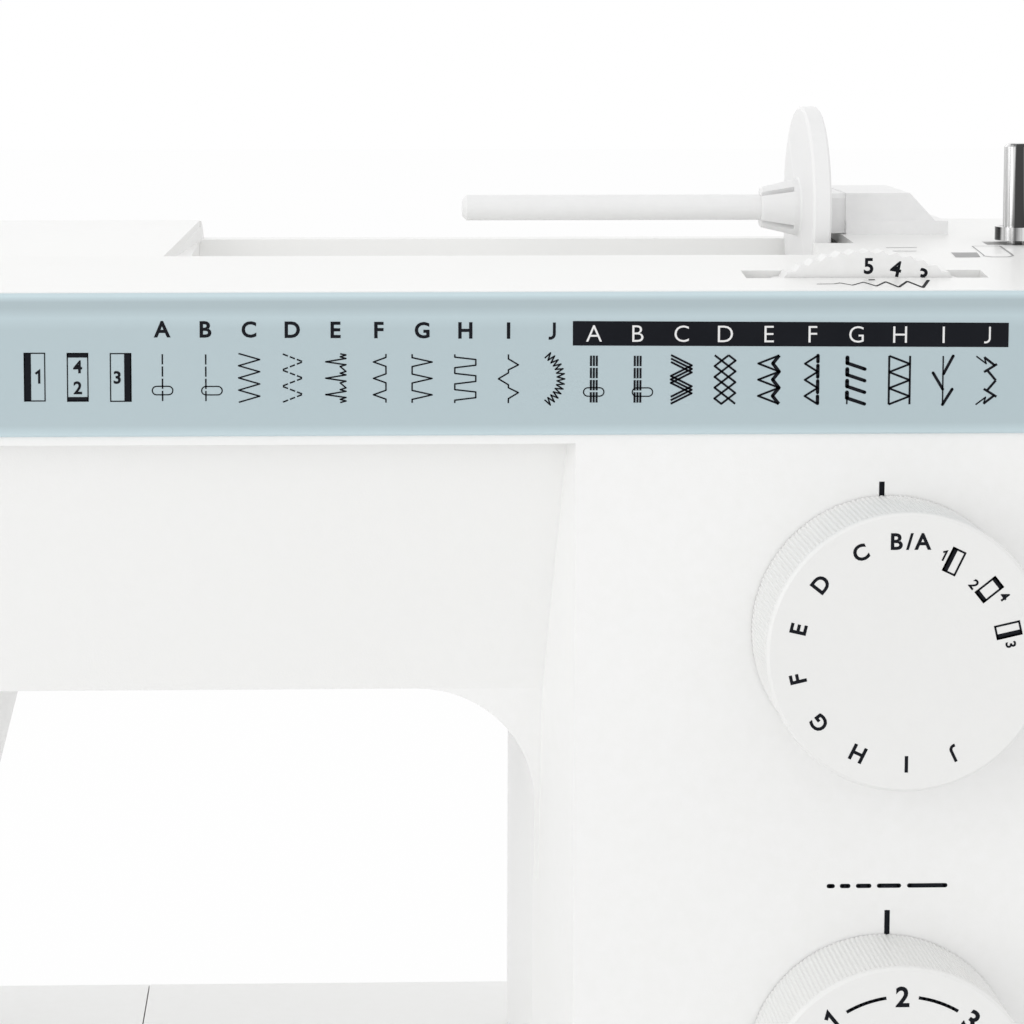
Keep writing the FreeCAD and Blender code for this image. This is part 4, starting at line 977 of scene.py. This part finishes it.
def joined(name, points, faces, material, body, smooth=()):
    """A closed mesh piece with its normals outward; smooth lists the faces that are shaded round."""
    mesh = bpy.data.meshes.new(name)
    shape = bmesh.new()
    corners = [shape.verts.new(point) for point in points]
    for number, face in enumerate(faces):
        shape.faces.new([corners[i] for i in face]).smooth = number in smooth
    bmesh.ops.recalc_face_normals(shape, faces=shape.faces)
    shape.to_mesh(mesh)
    shape.free()
    mesh.materials.append(material)
    piece = bpy.data.objects.new(name, mesh)
    bpy.context.scene.collection.objects.link(piece)
    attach(piece, body)
    return piece


def lathe(stations, count, hollow):
    """Rings of (distance, radius, angle) and the faces between them; a hollow one closes on itself."""
    points = []
    for distance, radius in stations:
        for i in range(count):
            reach = radius(i) if callable(radius) else radius
            points.append((distance, reach, 2 * math.pi * i / count))
    rows = len(stations)
    faces = []
    for row in range(rows if hollow else rows - 1):
        here, there = row * count, (row + 1) % rows * count
        for i in range(count):
            after = (i + 1) % count
            faces.append((here + i, here + after, there + after, there + i))
    if not hollow:
        faces.append(tuple(range(count)))
        faces.append(tuple(range((rows - 1) * count, rows * count)))
    return points, faces


def ribbed_dial(name, node, body):
    """The flared dial with fine ribs on its side, a smooth rim and its shaft."""
    low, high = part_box(node)
    middle = (low + high) / 2
    clearance = 0.3 * MM
    back = cover_front - clearance
    face = low.y
    shaft_radius = 4 * MM
    rim_radius = 27.8 * MM
    rib_count, rib_depth = 180, 0.15 * MM
    steps = 4

    def ribs(radius):
        return lambda i: radius - (rib_depth if i % steps < steps / 2 else 0)

    stations = [
        (high.y, shaft_radius),
        (back, shaft_radius),
        (back, ribs(rim_radius - 0.2 * MM)),
        (face + 1.3 * MM, ribs(rim_radius - 0.1 * MM)),
        (face + 1.2 * MM, rim_radius - 0.2 * MM),
        (face + 0.9 * MM, rim_radius),
        (face + 0.4 * MM, rim_radius - 0.2 * MM),
        (face, rim_radius - 0.7 * MM),
    ]
    points, faces = lathe(stations, rib_count * steps, False)
    spots = [(middle.x + r * math.cos(a), y, middle.z + r * math.sin(a)) for y, r, a in points]
    piece = joined(name, spots, faces, looks["dial_white"], body)
    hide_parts(node)


def slotted_cap():
    """The spool cap's disc with a hub that four long slots split into springy lobes."""
    low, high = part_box("spool_cap")
    middle = (low + high) / 2
    disc_radius = (high.z - low.z) / 2
    bore = 2.96 * MM
    slot_floor = 3.5
    slot_half_turn = 7
    count = 180

    def lobes(radius):
        def reach(i):
            off = (i * 360 / count) % 90 - 45
            return (slot_floor if abs(off) < slot_half_turn else radius) * MM
        return reach

    hub = low.x
    root = high.x - 5.6 * MM
    disc = high.x - 4.1 * MM
    stations = [
        (high.x, bore),
        (hub, bore),
        (hub, lobes(4.3)),
        (hub + 0.3 * MM, lobes(4.6)),
        (root, lobes(6.2)),
        (root, 6.3 * MM),
        (disc - 0.3 * MM, 6.4 * MM),
        (disc, 6.8 * MM),
        (disc, disc_radius - 0.6 * MM),
        (disc + 0.5 * MM, disc_radius),
        (high.x - 0.5 * MM, disc_radius),
        (high.x, disc_radius - 0.6 * MM),
    ]
    points, faces = lathe(stations, count, True)
    spots = [(x, middle.y + r * math.cos(a), middle.z + r * math.sin(a)) for x, r, a in points]
    piece = joined("slotted_cap", spots, faces, looks["spool_plastic"], "cap_set")
    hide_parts("spool_cap")


def prism_between(outline, start, end):
    """Points and faces of an outline swept from start(a, b) to end(a, b)."""
    count = len(outline)
    points = [start(*spot) for spot in outline] + [end(*spot) for spot in outline]
    faces = [tuple(range(count)), tuple(range(count, 2 * count))]
    faces += [(i, (i + 1) % count, count + (i + 1) % count, count + i) for i in range(count)]
    return points, faces


def recess_wall():
    """The upright end of the spool recess on the left, under the edge of the lid."""
    front, back, left = crease, 50.5, -33.0
    floor_level, lid_level = 267.0, 267.6
    lean_across, lean_run = 6.0, 78.0
    lean = lean_across / lean_run
    thick = 1.4
    turn_y, turn_z, turn_radius = 45.0, 263.1, 7.4
    curve = [math.radians(35 + 55 * i / 8) for i in range(9)]
    outline = [(front, floor_level), (back, floor_level)]
    outline += [(turn_y + turn_radius * math.cos(a), turn_z + turn_radius * math.sin(a)) for a in curve]
    outline += [(front, lid_level)]

    def at(shift):
        return lambda y, z: ((left + lean * (y - front) + shift) * MM, y * MM, z * MM)

    points, faces = prism_between(outline, at(-thick), at(0))
    joined("recess_wall", points, faces, looks["white_cover"], "machine")


def stand_collar():
    """The nose of the spool stand, which reaches along the pin to the cap."""
    low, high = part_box("spool_stand")
    reach, overlap = 4.6 * MM, 1 * MM
    side, bevel = 1.5 * MM, 1 * MM
    front, back = low.y + side, high.y - side
    foot, top = low.z + 0.2 * MM, high.z - 0.1 * MM
    outline = [
        (front, foot),
        (back, foot),
        (back, top - bevel),
        (back - bevel, top),
        (front + bevel, top),
        (front, top - bevel),
    ]
    points, faces = prism_between(
        outline, lambda y, z: (low.x - reach, y, z), lambda y, z: (low.x + overlap, y, z)
    )
    joined("stand_collar", points, faces, looks["spool_plastic"], "machine")


def feed_teeth():
    """Saw teeth on both rows of the feed dog, leaning to the back."""
    low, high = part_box("feed_dog")
    row_half, tooth, rise = 1.3 * MM, 1.5 * MM, 0.12 * MM
    row_shift, teeth = 6 * MM, 13
    for name, shift in (("left", -row_shift), ("right", row_shift)):
        centre = needle_middle.x + shift
        points, faces = [], []
        for i in range(teeth):
            start = low.y + tooth * i
            outline = [(start, high.z - rise), (start + tooth, high.z - rise), (start + tooth, high.z + rise)]
            part, sides = prism_between(
                outline, lambda y, z: (centre - row_half, y, z), lambda y, z: (centre + row_half, y, z)
            )
            faces += [tuple(len(points) + k for k in side) for side in sides]
            points += part
        joined("feed_teeth_" + name, points, faces, looks["steel"], "feed_set")


feed_teeth()
ribbed_dial("ribbed_pattern_dial", "pattern_dial", "pattern_set")
ribbed_dial("ribbed_length_dial", "length_dial", "length_set")
slotted_cap()
recess_wall()
stand_collar()


# Floor, light and camera

def paper_floor():
    """A wide pale floor that reads as white paper and keeps a soft shadow."""
    mesh = bpy.data.meshes.new("floor")
    reach = 6.0
    corners = [(-reach, -reach, 0), (reach, -reach, 0), (reach, reach, 0), (-reach, reach, 0)]
    mesh.from_pydata(corners, [], [(0, 1, 2, 3)])
    floor = bpy.data.objects.new("floor", mesh)
    bpy.context.scene.collection.objects.link(floor)
    material = surface("paper", plastic(grey(0.92), grey(0.9), 3.0, 300.0, 0.00005), (0.8, 0.95))
    nodes, links = material.node_tree.nodes, material.node_tree.links
    glow = nodes.new("ShaderNodeEmission")
    rays = nodes.new("ShaderNodeLightPath")
    share = nodes.new("ShaderNodeMath")
    share.operation = "MULTIPLY"
    share.inputs[1].default_value = 0.95
    blend = nodes.new("ShaderNodeMixShader")
    links.new(rays.outputs["Is Camera Ray"], share.inputs[0])
    links.new(share.outputs["Value"], blend.inputs["Fac"])
    links.new(nodes["Principled BSDF"].outputs["BSDF"], blend.inputs[1])
    links.new(glow.outputs["Emission"], blend.inputs[2])
    links.new(blend.outputs["Shader"], nodes["Material Output"].inputs["Surface"])
    mesh.materials.append(material)


def sky(light_level):
    """A white surround for the camera and reflections, at a lower level as light."""
    world = bpy.data.worlds.new("studio")
    bpy.context.scene.world = world
    world.use_nodes = True
    nodes, links = world.node_tree.nodes, world.node_tree.links
    background = nodes["Background"]
    background.inputs["Color"].default_value = (1, 1, 1, 1)
    rays = nodes.new("ShaderNodeLightPath")
    seen = nodes.new("ShaderNodeMath")
    seen.operation = "MAXIMUM"
    clear = nodes.new("ShaderNodeMath")
    clear.operation = "MAXIMUM"
    level = nodes.new("ShaderNodeMapRange")
    level.inputs["To Min"].default_value = light_level
    level.inputs["To Max"].default_value = 1.0
    links.new(rays.outputs["Is Camera Ray"], seen.inputs[0])
    links.new(rays.outputs["Is Glossy Ray"], seen.inputs[1])
    links.new(seen.outputs["Value"], clear.inputs[0])
    links.new(rays.outputs["Is Transmission Ray"], clear.inputs[1])
    links.new(clear.outputs["Value"], level.inputs["Value"])
    links.new(level.outputs["Result"], background.inputs["Strength"])


def soft_box(name, place, aim, wide, high, watts):
    """A large area lamp that looks at a point."""
    lamp = bpy.data.lights.new(name, "AREA")
    lamp.shape = "RECTANGLE"
    lamp.size = wide
    lamp.size_y = high
    lamp.energy = watts
    holder = bpy.data.objects.new(name, lamp)
    holder.location = place
    holder.rotation_euler = (Vector(aim) - Vector(place)).to_track_quat("-Z", "Y").to_euler()
    bpy.context.scene.collection.objects.link(holder)


def photo_camera():
    """The photograph's viewpoint: close, level with the top of the machine, looking a little down."""
    camera = bpy.data.cameras.new("photo_camera")
    camera.lens = 109.8
    camera.sensor_width = 36.0
    camera.shift_x = 0.1
    camera.shift_y = -0.2
    camera.clip_start = 0.01
    eye = Vector((0.0, -0.684, 0.324))
    aim = Vector((0.018, -0.064, 0.2624))
    holder = bpy.data.objects.new("photo_camera", camera)
    holder.location = eye
    holder.rotation_euler = (aim - eye).to_track_quat("-Z", "Y").to_euler()
    bpy.context.scene.collection.objects.link(holder)
    bpy.context.scene.camera = holder


paper_floor()
sky(0.88)
soft_box("key", (-1.3, -1.2, 0.6), (0, 0, 0.2), 1.4, 1.4, 6.5)
soft_box("fill", (0.3, -1.7, 0.4), (0, 0, 0.18), 1.8, 0.8, 0.3)
soft_box("right", (1.0, -0.8, 1.3), (0.1, 0, 0.2), 0.9, 0.9, 0.5)
soft_box("left", (-1.6, 0.1, 0.45), (0.05, 0, 0.16), 1.2, 0.8, 1.6)
soft_box("rear", (0, 1.6, 0.9), (0, 0, 0.1), 1.8, 0.8, 1.6)
photo_camera()
bpy.context.scene.view_settings.view_transform = "Standard"
